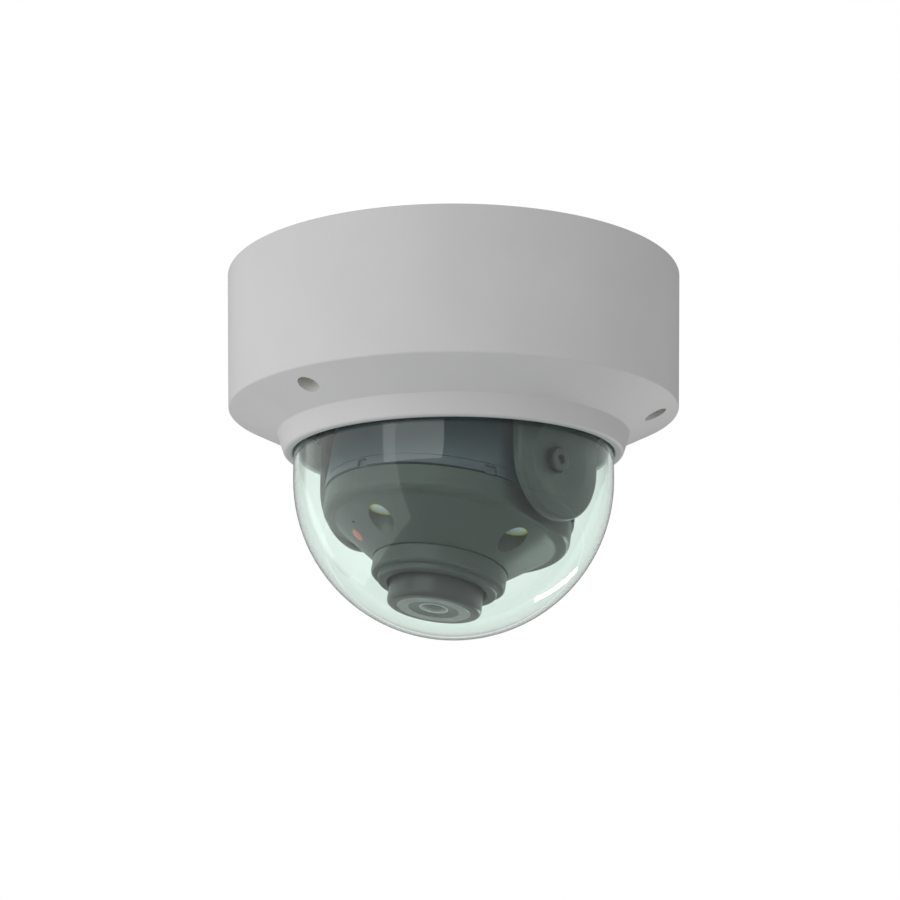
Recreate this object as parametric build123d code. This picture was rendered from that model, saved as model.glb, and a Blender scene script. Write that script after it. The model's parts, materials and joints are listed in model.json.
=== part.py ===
"""Ceiling dome camera: cast base, removable cover with a clear bubble, and a lens module
that pans, tilts and rolls inside it.

Frame: millimetres, +Z up. The origin is the centre of the ceiling face, so the camera
hangs below z = 0. The lens leans towards -Y at rest and the tilt axis runs along X.

Lens module pieces are drawn in a frame of their own: origin on the tilt axis, lens axis
along -Z. A "drop" is a distance from the tilt axis along the lens axis, towards the lens.
"""

from build123d import *
import math
import os

# ---------------------------------------------------------------- lens module
COLLAR_RADIUS = 24.9          # turning collar that carries the lens
POCKET_RADIUS = 5.0           # lamp pockets in the module's face
FACE_LAND = 8.6               # face left between the lamp pockets and the rim
COLLAR_LAND = 3.7             # face left between the collar and the lamp pockets
RIM_WIDTH = 5.0               # rounded rim outside the face
BAND_STEP = 0.6               # the rear shell stands this far proud of the front shell
SHELL_WALL = 2.0
FLAT_CUT = 4.2                # flats beside the yoke arms, below the rear shell's radius
FRONT_TOP_DROP = 13.7
BAND_DROP = 13.2
BAND_HEIGHT = 2.8
BAND_GROOVE = 0.5
RIM_DROP = 18.8
FACE_DROP = 22.8
FACE_SLOPE = 36.6             # degrees from square to the lens axis
REAR_DROP = -36.0
LAMP_COUNT = 4
LAMP_FLOOR_DROP = 25.2
LAMP_WINDOW_THICKNESS = 1.2
LAMP_SEAL = 0.8
BAYONET_COUNT = 6
BAYONET_WIDTH = 5.4

COLLAR_STEP_RADIUS = 22.25
COLLAR_MOUTH_RADIUS = 18.5
COLLAR_HEIGHT = 8.6           # from the face to the collar's mouth
BARREL_RADIUS = 17.4
BARREL_STAND_OUT = 7.9        # barrel beyond the collar's mouth
BARREL_ROUND = 2.0
FRONT_RING_RADIUS = 13.5
CONE_RING_RADIUS = 9.4
TRIM_RING_RADIUS = 5.34
LENS_RADIUS = 4.9
CELL_RADIUS = 14.5
CELL_WALL = 1.9
FOCUS_TRAVEL = 1.2

STATUS_RADIUS = 2.8
STATUS_AT = (-18.8, -26.2)
MICROPHONE_HOLE_RADIUS = 0.6
MICROPHONE_AT = (-15.9, -32.0)

SENSOR_BOARD_SIZE = 36.0
FILTER_TRAVEL = 7.0

REST_TILT = 12.4              # lens lean from straight down, degrees

# ------------------------------------------------------------------------ yoke
ARM_GAP = 4.0                 # between the module's flats and the arms
ARM_THICKNESS = 4.0
ARM_HALF_WIDTH = 22.0
DISH_RADIUS = 15.0
DISH_DEPTH = 2.2
PIVOT_SHANK_RADIUS = 3.0
PIVOT_HEAD_RADIUS = 4.6
PIVOT_HEAD_HEIGHT = 2.5
SPOT_FACE_DEPTH = 0.25         # flat under the pivot screws' heads, below the dish
SPOT_FACE_GAP = 0.5
PIVOT_SOCKET_RADIUS = 2.0
BUSH_WALL = 1.4
WASHER_THICKNESS = 1.5
SWEEP_CLEARANCE = 2.5         # between the turning module and the yoke ring's bore
YOKE_PLATE = 4.0
YOKE_PLATE_RISE = 32.6        # underside of the yoke ring above the tilt axis
PAN_COLLAR_WALL = 2.95
FRICTION_RING = 1.0

# --------------------------------------------------------------- dome and cover
DOME_CLEARANCE = 3.0
DOME_WALL = 1.8
DOME_FLANGE = 3.8
DOME_FLANGE_THICKNESS = 1.6
DOME_GAP = 0.3                # all round, between the bubble and the cover's collar
DOME_STAND_OUT = 8.9          # centre of the bubble below the cover's lip
DOME_GASKET = 1.0
NECK_WALL = 5.9               # cover's collar where it leaves the shoulder
NECK_LEAN = 2.6
NECK_HEIGHT = 7.6
LIP_ROUND = 0.9
SHOULDER_WIDTH = 18.6
SHOULDER_DROP = 9.0
SKIRT_HEIGHT = 53.2
SKIRT_DRAFT = 1.6
SKIRT_WALL = 2.6
SKIRT_TOP_GAP = 0.8           # shadow gap at the ceiling
SHOULDER_WALL = 3.1
COVER_SCREW_COUNT = 3
COVER_SCREW_START = -90.0
COVER_SCREW_INSET = 10.1      # from the skirt's foot to the screws
SCREW_RECESS_RADIUS = 4.0
SCREW_RECESS_DEPTH = 8.2
RETAINER_CLIP_RADIUS = 3.3
RETAINER_CLIP_DEPTH = 1.2
RETAINING_RING_WIDTH = 10.6
RETAINING_RING_THICKNESS = 1.5
RETAINING_SCREW_COUNT = 6

# ------------------------------------------------------------------------ base
BASE_FLOOR = 3.5
BASE_WALL = 2.4
BASE_WALL_HEIGHT = 44.5
COVER_GASKET = 1.5
MOUNT_HOLE_RADIUS = 2.75
MOUNT_HOLE_PITCH_RADIUS = 68.0
MOUNT_HOLE_COUNT = 4
CABLE_HOLE_RADIUS = 11.0
CABLE_HOLE_Y = 46.0
CABLE_RADIUS = 3.5
CEILING_GASKET = 1.2
REAR_RECESS_OUTER = 28.0        # shallow cast recess in the ceiling face
REAR_RECESS_INNER = 12.0
REAR_RECESS_DEPTH = 1.0
CHASSIS_THICKNESS = 5.0
CHASSIS_EAR_RADIUS = 7.0
BOARD_RADIUS = 55.0
BOARD_THICKNESS = 1.6
BOARD_TOP = 12.4              # board below the ceiling
BOARD_TAB_ANGLE = -28.0
BUTTON_TRAVEL = 0.5

# ------------------------------------------------------------------- clearances
RUNNING = 0.05                # radial, shaft in hole
FIXED = 0.02                  # radial, between pieces that never move apart
THREAD = 0.05                 # screw shank in its threaded hole

# --------------------------------------------------------------- derived sizes
BEARING_RADIUS = COLLAR_RADIUS - 0.65
LAMP_PITCH_RADIUS = COLLAR_RADIUS + COLLAR_LAND + POCKET_RADIUS
FACE_RADIUS = LAMP_PITCH_RADIUS + POCKET_RADIUS + FACE_LAND - RIM_WIDTH - BAND_STEP
FRONT_RADIUS = FACE_RADIUS + RIM_WIDTH
REAR_RADIUS = FRONT_RADIUS + BAND_STEP
SWEEP_RADIUS = math.hypot(REAR_RADIUS, BAND_DROP)
FLAT_X = REAR_RADIUS - FLAT_CUT
FACE_RUN = FACE_RADIUS - COLLAR_RADIUS
COLLAR_DROP = FACE_DROP + FACE_RUN * math.tan(math.radians(FACE_SLOPE))
MOUTH_DROP = COLLAR_DROP + COLLAR_HEIGHT
LENS_DROP = MOUTH_DROP + BARREL_STAND_OUT
RIM_SWEEP_RADIUS = math.hypot(FRONT_RADIUS, (RIM_DROP + FACE_DROP) / 2)

ARM_INNER_X = FLAT_X + ARM_GAP
ARM_OUTER_X = ARM_INNER_X + ARM_THICKNESS
ARM_CORNER_RADIUS = math.hypot(ARM_OUTER_X, ARM_HALF_WIDTH)
DOME_INNER_RADIUS = ARM_CORNER_RADIUS + DOME_CLEARANCE
DOME_RADIUS = DOME_INNER_RADIUS + DOME_WALL

NECK_BORE_RADIUS = DOME_RADIUS + DOME_GAP
NECK_BASE_RADIUS = NECK_BORE_RADIUS + NECK_WALL
SKIRT_FOOT_RADIUS = NECK_BASE_RADIUS + SHOULDER_WIDTH
HOUSING_RADIUS = SKIRT_FOOT_RADIUS + SKIRT_DRAFT
NECK_BASE_Z = -(SKIRT_HEIGHT + SHOULDER_DROP)
LIP_Z = NECK_BASE_Z - NECK_HEIGHT
PIVOT_Z = LIP_Z - DOME_STAND_OUT
SHOULDER_SLOPE = SHOULDER_DROP / SHOULDER_WIDTH

POCKET_STEP_Z = NECK_BASE_Z + 2.6
FLANGE_TOP_Z = POCKET_STEP_Z + DOME_GASKET + DOME_FLANGE_THICKNESS
FLANGE_POCKET_RADIUS = DOME_RADIUS + DOME_FLANGE + DOME_GAP
RETAINING_RING_INNER = DOME_RADIUS - 1.2
RETAINING_RING_OUTER = RETAINING_RING_INNER + RETAINING_RING_WIDTH
RETAINING_SCREW_PITCH = FLANGE_POCKET_RADIUS + 2.7

COVER_SCREW_PITCH = SKIRT_FOOT_RADIUS - COVER_SCREW_INSET + SKIRT_DRAFT
LEDGE_Z = -(BASE_WALL_HEIGHT + COVER_GASKET)
SKIRT_INNER_AT_LEDGE = HOUSING_RADIUS - SKIRT_WALL + SKIRT_DRAFT * LEDGE_Z / SKIRT_HEIGHT
BASE_WALL_OUTER = SKIRT_INNER_AT_LEDGE - 1.2
BASE_WALL_INNER = BASE_WALL_OUTER - BASE_WALL
BASE_RADIUS = HOUSING_RADIUS - SKIRT_WALL - 0.8

YOKE_PLATE_LOW_Z = PIVOT_Z + YOKE_PLATE_RISE
YOKE_PLATE_TOP_Z = YOKE_PLATE_LOW_Z + YOKE_PLATE
CHASSIS_LOW_Z = YOKE_PLATE_TOP_Z + FRICTION_RING + 0.1
CHASSIS_TOP_Z = CHASSIS_LOW_Z + CHASSIS_THICKNESS
YOKE_BORE_RADIUS = math.sqrt(RIM_SWEEP_RADIUS ** 2 - YOKE_PLATE_RISE ** 2) + SWEEP_CLEARANCE
PAN_COLLAR_RADIUS = YOKE_BORE_RADIUS + PAN_COLLAR_WALL
YOKE_PLATE_RADIUS = ARM_CORNER_RADIUS + 0.2
RETAINER_LOW_Z = CHASSIS_TOP_Z + 0.2
RETAINER_THICKNESS = 2.4
RETAINER_RADIUS = PAN_COLLAR_RADIUS + 6.0
CHASSIS_RADIUS = YOKE_PLATE_RADIUS + 0.7
CHASSIS_SCREW_PITCH = YOKE_PLATE_RADIUS + 6.3
CHASSIS_SCREW_ANGLES = (0.0, 120.0, 240.0)
BOARD_LOW_Z = -(BOARD_TOP + BOARD_THICKNESS)

SCREW_M4 = 2.0
SCREW_M3 = 1.5
SCREW_M2 = 1.0


# ----------------------------------------------------------------- small helpers
def ring(outer, inner, low, high):
    """Flat ring about Z."""
    return tube_at((0, 0), outer, inner, low, high)


def rod(spot, radius, low, high):
    """Upright cylinder at a spot in plan."""
    x, y = spot
    return Pos(x, y, (low + high) / 2) * Cylinder(radius, high - low)


def tube_at(spot, outer, inner, low, high):
    """Upright tube at a spot in plan."""
    return rod(spot, outer, low, high) - rod(spot, inner, low - 1, high + 1)


def block(spot, size, low, high):
    """Upright box at a spot in plan."""
    x, y = spot
    return Pos(x, y, (low + high) / 2) * Box(size[0], size[1], high - low)


def polar(radius, degrees):
    """Spot in plan from a radius and an angle."""
    turn = math.radians(degrees)
    return radius * math.cos(turn), radius * math.sin(turn)


def spread(radius, count, start):
    """Evenly spaced spots on a circle."""
    return [polar(radius, start + 360.0 * index / count) for index in range(count)]


def turned(points, rounds=()):
    """Solid of revolution about Z from (radius, height) points, with rounded corners."""
    face = make_face(Polyline(*points, close=True))
    for corner, radius in rounds:
        near = Vector(*corner, 0)
        vertex = min(face.vertices(), key=lambda each: (Vector(each) - near).length)
        face = fillet(vertex, radius)
    return revolve(Plane.XZ * face, Axis.Z)


def screw(spot, shank, length, head, head_height, seat):
    """Pan-head screw whose head hangs below its seat and whose shank points up."""
    shaft = rod(spot, shank, seat - 0.01, seat + length)
    cap = rod(spot, head, seat - head_height, seat)
    cap = fillet(cap.edges().sort_by(Axis.Z)[0], head_height * 0.35)
    socket = rod(spot, head * 0.45, seat - head_height - 1, seat - head_height * 0.45)
    return shaft + cap - socket


def along_x(start, end, radius):
    """Cylinder along X at the tilt axis height of the module's own frame."""
    return Pos((start + end) / 2, 0, 0) * Rot(0, 90, 0) * Cylinder(radius, end - start)


def both_sides(piece):
    """A piece and its mirror image across the YZ plane."""
    return Compound(children=[piece, mirror(piece, Plane.YZ)])


def group(pieces):
    """Separate solids kept in one node."""
    return Compound(children=list(pieces))


def in_module(piece):
    """Place a piece of the lens module at its rest lean."""
    return Pos(0, 0, PIVOT_Z) * Rot(-REST_TILT, 0, 0) * piece


# ------------------------------------------------------------------------- base
def base_casting():
    floor = rod((0, 0), BASE_RADIUS, -BASE_FLOOR, 0)
    wall = ring(BASE_WALL_OUTER, BASE_WALL_INNER, -BASE_WALL_HEIGHT, -BASE_FLOOR)
    body = floor + wall
    for spot in spread(COVER_SCREW_PITCH, COVER_SCREW_COUNT, COVER_SCREW_START):
        body += rod(spot, 5.2, -BASE_WALL_HEIGHT, -BASE_FLOOR) & rod((0, 0), BASE_WALL_OUTER, -60, 0)
    for angle in CHASSIS_SCREW_ANGLES:
        body += rod(polar(CHASSIS_SCREW_PITCH, angle), 5.0, CHASSIS_TOP_Z, -BASE_FLOOR)
    for spot in board_screw_spots():
        body += rod(spot, 3.2, -BOARD_TOP, -BASE_FLOOR)
    for spot in spread(MOUNT_HOLE_PITCH_RADIUS, MOUNT_HOLE_COUNT, 45.0):
        body += rod(spot, 6.0, -BASE_FLOOR - 1.5, -BASE_FLOOR)
    for spot in spread(MOUNT_HOLE_PITCH_RADIUS, MOUNT_HOLE_COUNT, 45.0):
        body -= rod(spot, MOUNT_HOLE_RADIUS, -BASE_FLOOR - 3, 1)
    for spot in spread(COVER_SCREW_PITCH, COVER_SCREW_COUNT, COVER_SCREW_START):
        body -= rod(spot, SCREW_M4 + THREAD, -BASE_WALL_HEIGHT - 1, -BASE_WALL_HEIGHT + 16)
    for angle in CHASSIS_SCREW_ANGLES:
        spot = polar(CHASSIS_SCREW_PITCH, angle)
        body -= rod(spot, SCREW_M4 + THREAD, CHASSIS_TOP_Z - 1, CHASSIS_TOP_Z + 12)
    for spot in board_screw_spots():
        body -= rod(spot, SCREW_M3 + THREAD, -BOARD_TOP - 1, -BOARD_TOP + 7)
    body -= rod((0, CABLE_HOLE_Y), CABLE_HOLE_RADIUS, -BASE_FLOOR - 1, 1)
    body -= ceiling_gasket_shape(FIXED, 1.0)
    body -= ring(REAR_RECESS_OUTER, REAR_RECESS_INNER, -REAR_RECESS_DEPTH, 1.0)
    return body


def ceiling_gasket_shape(slack, rise):
    outer = BASE_RADIUS - 4.2
    return ring(outer + slack, outer - 3.4 - slack, -CEILING_GASKET, rise)


def ceiling_gasket():
    return ceiling_gasket_shape(0.0, 0.0)


def cable_grommet():
    radius = CABLE_HOLE_RADIUS - FIXED
    profile = [
        (CABLE_RADIUS, 0), (radius, 0), (radius, -BASE_FLOOR), (radius + 2.2, -BASE_FLOOR),
        (radius + 2.2, -BASE_FLOOR - 1.8), (7.0, -BASE_FLOOR - 1.8),
        (CABLE_RADIUS + 1.2, -BASE_FLOOR - 7.0), (CABLE_RADIUS, -BASE_FLOOR - 7.0),
    ]
    return Pos(0, CABLE_HOLE_Y, 0) * turned(profile)


def chassis_ring():
    body = ring(CHASSIS_RADIUS, PAN_COLLAR_RADIUS + RUNNING, CHASSIS_LOW_Z, CHASSIS_TOP_Z)
    for angle in CHASSIS_SCREW_ANGLES:
        spot = polar(CHASSIS_SCREW_PITCH, angle)
        ear = rod(spot, CHASSIS_EAR_RADIUS, CHASSIS_LOW_Z, CHASSIS_TOP_Z)
        web = Rot(0, 0, angle) * block(
            (CHASSIS_SCREW_PITCH - 4, 0), (8, 2 * CHASSIS_EAR_RADIUS), CHASSIS_LOW_Z, CHASSIS_TOP_Z
        )
        body += ear + web - rod((0, 0), CHASSIS_RADIUS - 2, CHASSIS_LOW_Z - 1, CHASSIS_TOP_Z + 1)
        body -= rod(spot, SCREW_M4 + 0.2, CHASSIS_LOW_Z - 1, CHASSIS_TOP_Z + 1)
    stop = block((0, RETAINER_RADIUS + 2.4), (4.0, 3.6), CHASSIS_TOP_Z - 0.01, CHASSIS_TOP_Z + 3)
    return body + stop


def chassis_screws():
    spots = [polar(CHASSIS_SCREW_PITCH, angle) for angle in CHASSIS_SCREW_ANGLES]
    length = CHASSIS_THICKNESS + 9
    return group(screw(spot, SCREW_M4, length, 3.6, 2.6, CHASSIS_LOW_Z) for spot in spots)


def pan_friction_ring():
    inner = PAN_COLLAR_RADIUS + 1
    return ring(YOKE_PLATE_RADIUS - 2, inner, CHASSIS_LOW_Z - FRICTION_RING, CHASSIS_LOW_Z)


# ------------------------------------------------------------------ electronics
def board_screw_spots():
    return [(x, y) for x in (-36.0, 36.0) for y in (-32.0, 32.0)]


def main_board():
    low, high = BOARD_LOW_Z, -BOARD_TOP
    board = rod((0, 0), BOARD_RADIUS, low, high)
    tab = Rot(0, 0, BOARD_TAB_ANGLE) * block((BOARD_RADIUS + 2, 0), (26, 18), low, high)
    notch_width = 2 * (CABLE_HOLE_RADIUS + 4)
    notch = block((0, CABLE_HOLE_Y + 6), (notch_width, 2 * (CABLE_HOLE_RADIUS + 9)), low - 1, high + 1)
    board = board + tab - notch
    for spot in board_screw_spots():
        board -= rod(spot, SCREW_M3 + 0.1, low - 1, high + 1)
    return board


def board_screws():
    return group(screw(spot, SCREW_M3, 7.5, 2.8, 2.0, BOARD_LOW_Z) for spot in board_screw_spots())


def network_jack():
    width, depth, height = 16.0, 20.0, 13.5
    centre = (-27.0, 17.0)
    low = BOARD_LOW_Z - height
    shell = block(centre, (width, depth), low, BOARD_LOW_Z)
    mouth = block((centre[0], centre[1] + 3.0), (11.8, depth - 4), low + 2.5, low + 9.5)
    latch = block((centre[0], centre[1] + 3.0), (5.0, depth - 4), low + 9.0, low + 11.5)
    return shell - mouth - latch


def power_terminal():
    centre = (27.0, 26.0)
    low = BOARD_LOW_Z - 9.0
    body = block(centre, (10.5, 8.0), low, BOARD_LOW_Z)
    for side in (-2.6, 2.6):
        spot = (centre[0] + side, centre[1])
        body -= rod(spot, 1.6, low - 1, low + 4)
        body -= block((spot[0], centre[1] + 3), (2.6, 4), low + 4.5, low + 7.5)
    return body


def card_slot():
    spot = (BOARD_RADIUS - 3, 3.4)
    body = block(spot, (14, 8.8), BOARD_LOW_Z - 1.9, BOARD_LOW_Z)
    body -= block((spot[0] + 2, spot[1]), (14, 7.2), BOARD_LOW_Z - 1.4, BOARD_LOW_Z - 0.5)
    return Rot(0, 0, BOARD_TAB_ANGLE) * body


def processor():
    body = block((0, -4), (18, 18), BOARD_LOW_Z - 1.7, BOARD_LOW_Z)
    return body - rod((-6.5, 2.5), 0.8, BOARD_LOW_Z - 2, BOARD_LOW_Z - 1.5)


def capacitors():
    spots = [(33.0, -12.0), (38.0, -5.0), (31.0, 2.0)]
    cans = []
    for spot in spots:
        can = rod(spot, 3.1, BOARD_LOW_Z - 7.5, BOARD_LOW_Z)
        cans.append(fillet(can.edges().sort_by(Axis.Z)[0], 0.6))
    return group(cans)


def module_connector():
    low = BOARD_LOW_Z - 5.0
    return block((14, 16), (13, 5), low, BOARD_LOW_Z) - block((14, 16), (11, 3), low - 1, low + 3.5)


def reset_spot():
    return BOARD_RADIUS + 9.0, -4.6


def reset_switch():
    low = BOARD_LOW_Z - 3.5
    body = block(reset_spot(), (6, 6), low, BOARD_LOW_Z)
    body -= rod(reset_spot(), 1.5 + RUNNING, low - 1, BOARD_LOW_Z - 0.8)
    return Rot(0, 0, BOARD_TAB_ANGLE) * body


def reset_button():
    low = BOARD_LOW_Z - 5.2
    top = BOARD_LOW_Z - 0.8 - BUTTON_TRAVEL - 0.1
    button = rod(reset_spot(), 1.5, low, top)
    return Rot(0, 0, BOARD_TAB_ANGLE) * fillet(button.edges().sort_by(Axis.Z)[0], 0.3)


# ------------------------------------------------------------- cover and bubble
def shoulder_z(radius):
    """Height of the cover's sloping underside at a radius."""
    return -SKIRT_HEIGHT - (SKIRT_FOOT_RADIUS - radius) * SHOULDER_SLOPE


def cover():
    lip_outer = NECK_BASE_RADIUS - NECK_LEAN
    land_radius = SKIRT_FOOT_RADIUS - (FLANGE_TOP_Z - SHOULDER_WALL + SKIRT_HEIGHT) / -SHOULDER_SLOPE
    inner_foot = SKIRT_FOOT_RADIUS - SKIRT_WALL
    profile = [
        (HOUSING_RADIUS, -SKIRT_TOP_GAP),
        (SKIRT_FOOT_RADIUS, -SKIRT_HEIGHT),
        (NECK_BASE_RADIUS, NECK_BASE_Z),
        (lip_outer, LIP_Z),
        (NECK_BORE_RADIUS, LIP_Z),
        (NECK_BORE_RADIUS, POCKET_STEP_Z),
        (FLANGE_POCKET_RADIUS, POCKET_STEP_Z),
        (FLANGE_POCKET_RADIUS, FLANGE_TOP_Z),
        (land_radius, FLANGE_TOP_Z),
        (inner_foot, shoulder_z(inner_foot) + SHOULDER_WALL),
        (HOUSING_RADIUS - SKIRT_WALL, -SKIRT_TOP_GAP),
    ]
    rounds = [
        ((SKIRT_FOOT_RADIUS, -SKIRT_HEIGHT), 0.9),
        ((lip_outer, LIP_Z), 1.6),
        ((NECK_BORE_RADIUS, LIP_Z), LIP_ROUND),
    ]
    body = turned(profile, rounds)
    keep = turned([
        (0, LEDGE_Z), (0, FLANGE_TOP_Z + 0.5), (land_radius, FLANGE_TOP_Z - 0.5),
        (SKIRT_FOOT_RADIUS - 0.8, -SKIRT_HEIGHT - 0.1), (SKIRT_INNER_AT_LEDGE + 0.8, LEDGE_Z),
    ])
    body += ring(SKIRT_INNER_AT_LEDGE + 0.8, BASE_WALL_INNER - 0.3, FLANGE_TOP_Z, LEDGE_Z) & keep
    for spot in spread(COVER_SCREW_PITCH, COVER_SCREW_COUNT, COVER_SCREW_START):
        body += rod(spot, SCREW_RECESS_RADIUS + 2.2, FLANGE_TOP_Z, LEDGE_Z) & keep
    for spot in spread(COVER_SCREW_PITCH, COVER_SCREW_COUNT, COVER_SCREW_START):
        body -= rod(spot, SCREW_RECESS_RADIUS, NECK_BASE_Z - 5, screw_seat_z())
        body -= rod(spot, SCREW_M4 + 0.3, NECK_BASE_Z, LEDGE_Z + 1)
        body -= rod(spot, RETAINER_CLIP_RADIUS + 0.3, LEDGE_Z - RETAINER_CLIP_DEPTH, LEDGE_Z + 1)
    for spot in retaining_screw_spots():
        body -= rod(spot, 1.25 + THREAD, FLANGE_TOP_Z - 2.4, FLANGE_TOP_Z + 1)
    return body


def screw_seat_z():
    return shoulder_z(COVER_SCREW_PITCH) + SCREW_RECESS_DEPTH


def cover_gasket():
    return ring(BASE_WALL_OUTER + 0.1, BASE_WALL_INNER - 0.1, LEDGE_Z, LEDGE_Z + COVER_GASKET - 0.05)


def cover_screws():
    spots = spread(COVER_SCREW_PITCH, COVER_SCREW_COUNT, COVER_SCREW_START)
    length = LEDGE_Z - screw_seat_z() + COVER_GASKET + 12
    return group(screw(spot, SCREW_M4, length, 3.5, 3.2, screw_seat_z()) for spot in spots)


def screw_retainers():
    spots = spread(COVER_SCREW_PITCH, COVER_SCREW_COUNT, COVER_SCREW_START)
    low = LEDGE_Z - RETAINER_CLIP_DEPTH
    inner = SCREW_M4 + FIXED
    return group(tube_at(spot, RETAINER_CLIP_RADIUS, inner, low, low + 0.8) for spot in spots)


def dome():
    outer = Sphere(DOME_RADIUS) & Pos(0, 0, -DOME_RADIUS) * Box(200, 200, 2 * DOME_RADIUS)
    inner = Sphere(DOME_INNER_RADIUS) & Pos(0, 0, -DOME_RADIUS) * Box(200, 200, 2 * DOME_RADIUS)
    bowl = Pos(0, 0, PIVOT_Z) * (outer - inner)
    skirt = ring(DOME_RADIUS, DOME_INNER_RADIUS, PIVOT_Z, FLANGE_TOP_Z)
    flange_low = POCKET_STEP_Z + DOME_GASKET
    flange = ring(DOME_RADIUS + DOME_FLANGE, DOME_INNER_RADIUS, flange_low, FLANGE_TOP_Z)
    return bowl + skirt + flange


def dome_gasket():
    outer = DOME_RADIUS + DOME_FLANGE
    return ring(outer, DOME_RADIUS + DOME_GAP, POCKET_STEP_Z, POCKET_STEP_Z + DOME_GASKET)


def retaining_screw_spots():
    return spread(RETAINING_SCREW_PITCH, RETAINING_SCREW_COUNT, 0.0)


def dome_retaining_ring():
    low, high = FLANGE_TOP_Z, FLANGE_TOP_Z + RETAINING_RING_THICKNESS
    body = ring(RETAINING_RING_OUTER, RETAINING_RING_INNER, low, high)
    for spot in spread(COVER_SCREW_PITCH, COVER_SCREW_COUNT, COVER_SCREW_START):
        body -= rod(spot, SCREW_RECESS_RADIUS + 2.7, low - 1, high + 1)
    for spot in retaining_screw_spots():
        body -= rod(spot, 1.4, low - 1, high + 1)
    return body


def retaining_screws():
    seat = FLANGE_TOP_Z + RETAINING_RING_THICKNESS
    screws = []
    for spot in retaining_screw_spots():
        upright = screw((0, 0), 1.25, 3.6, 2.3, 1.6, 0)
        screws.append(Pos(*spot, seat) * Rot(180, 0, 0) * upright)
    return group(screws)


# ------------------------------------------------------------------------- yoke
def arm():
    """Right-hand arm, in the module's upright frame."""
    height = YOKE_PLATE_RISE + YOKE_PLATE
    centre_x = (ARM_INNER_X + ARM_OUTER_X) / 2
    strap = Pos(centre_x, 0, height / 2) * Box(ARM_THICKNESS, 2 * ARM_HALF_WIDTH, height)
    body = strap + along_x(ARM_INNER_X, ARM_OUTER_X, ARM_HALF_WIDTH)
    outer_edges = body.edges().filter_by(lambda edge: abs(edge.center().X - ARM_OUTER_X) < 0.01)
    rim = outer_edges.filter_by(lambda edge: edge.center().Z < height - 0.1)
    body = fillet(rim, 1.2)
    ball = (DISH_RADIUS ** 2 + DISH_DEPTH ** 2) / (2 * DISH_DEPTH)
    body -= Pos(ARM_OUTER_X - DISH_DEPTH + ball, 0, 0) * Sphere(ball)
    spot_face = ARM_OUTER_X - DISH_DEPTH - SPOT_FACE_DEPTH
    body -= along_x(spot_face, ARM_OUTER_X + 1, PIVOT_HEAD_RADIUS + SPOT_FACE_GAP)
    body += along_x(FLAT_X + WASHER_THICKNESS + 0.1, ARM_INNER_X + 0.01, 8.5)
    return body - along_x(0, ARM_OUTER_X + 5, PIVOT_SHANK_RADIUS + BUSH_WALL + FIXED)


def yoke():
    plate = ring(YOKE_PLATE_RADIUS, YOKE_BORE_RADIUS, YOKE_PLATE_LOW_Z, YOKE_PLATE_TOP_Z)
    hub = ring(PAN_COLLAR_RADIUS, YOKE_BORE_RADIUS, YOKE_PLATE_TOP_Z - 0.01, RETAINER_LOW_Z)
    right = arm()
    body = plate + hub + Pos(0, 0, PIVOT_Z) * right
    body += Pos(0, 0, PIVOT_Z) * mirror(right, Plane.YZ)
    for spot in retainer_screw_spots():
        body -= rod(spot, SCREW_M2 + THREAD, RETAINER_LOW_Z - 6, RETAINER_LOW_Z + 1)
    return body


def retainer_screw_spots():
    return spread(YOKE_BORE_RADIUS + PAN_COLLAR_WALL / 2, 4, 45.0)


def pan_retainer():
    low, high = RETAINER_LOW_Z, RETAINER_LOW_Z + RETAINER_THICKNESS
    body = ring(RETAINER_RADIUS, YOKE_BORE_RADIUS, low, high)
    body += block((0, -RETAINER_RADIUS - 1.4), (4.0, 4.4), low, high)
    for spot in retainer_screw_spots():
        body -= rod(spot, SCREW_M2 + 0.1, low - 1, high + 1)
    return body


def retainer_screws():
    seat = RETAINER_LOW_Z + RETAINER_THICKNESS
    screws = []
    for spot in retainer_screw_spots():
        upright = screw((0, 0), SCREW_M2, 6.5, 1.9, 1.4, 0)
        screws.append(Pos(*spot, seat) * Rot(180, 0, 0) * upright)
    return group(screws)


def pivot_bushes():
    radius = PIVOT_SHANK_RADIUS + BUSH_WALL
    start, end = FLAT_X + WASHER_THICKNESS + 0.1, ARM_OUTER_X - DISH_DEPTH
    bush = along_x(start, end, radius) - along_x(start - 1, end + 1, PIVOT_SHANK_RADIUS + RUNNING)
    return both_sides(Pos(0, 0, PIVOT_Z) * bush)


# ------------------------------------------------------------------ lens module
def between_flats(piece, half_width):
    """Keep what lies between the module's two flats."""
    return piece & Box(2 * half_width, 200, 200)


def rear_shell_profile(inset):
    """Outline of the rear shell, drawn in by the wall where inset is above zero."""
    radius = REAR_RADIUS - inset
    reach = SWEEP_RADIUS - inset
    top = -REAR_DROP - inset
    side = math.sqrt(reach ** 2 - radius ** 2)
    flat = math.sqrt(reach ** 2 - top ** 2)
    mid = math.radians((math.degrees(math.atan2(side, radius)) + math.degrees(math.atan2(top, flat))) / 2)
    low = -BAND_DROP - (1 if inset else 0)
    outline = Line((0, low), (radius, low)) + Line((radius, low), (radius, side))
    shoulder = (reach * math.cos(mid), reach * math.sin(mid))
    outline += ThreePointArc((radius, side), shoulder, (flat, top))
    outline += Line((flat, top), (0, top)) + Line((0, top), (0, low))
    return revolve(Plane.XZ * make_face(outline), Axis.Z)


def shell_screw_spots():
    return spread(LAMP_PITCH_RADIUS + 2.4, 4, 45.0)


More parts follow.
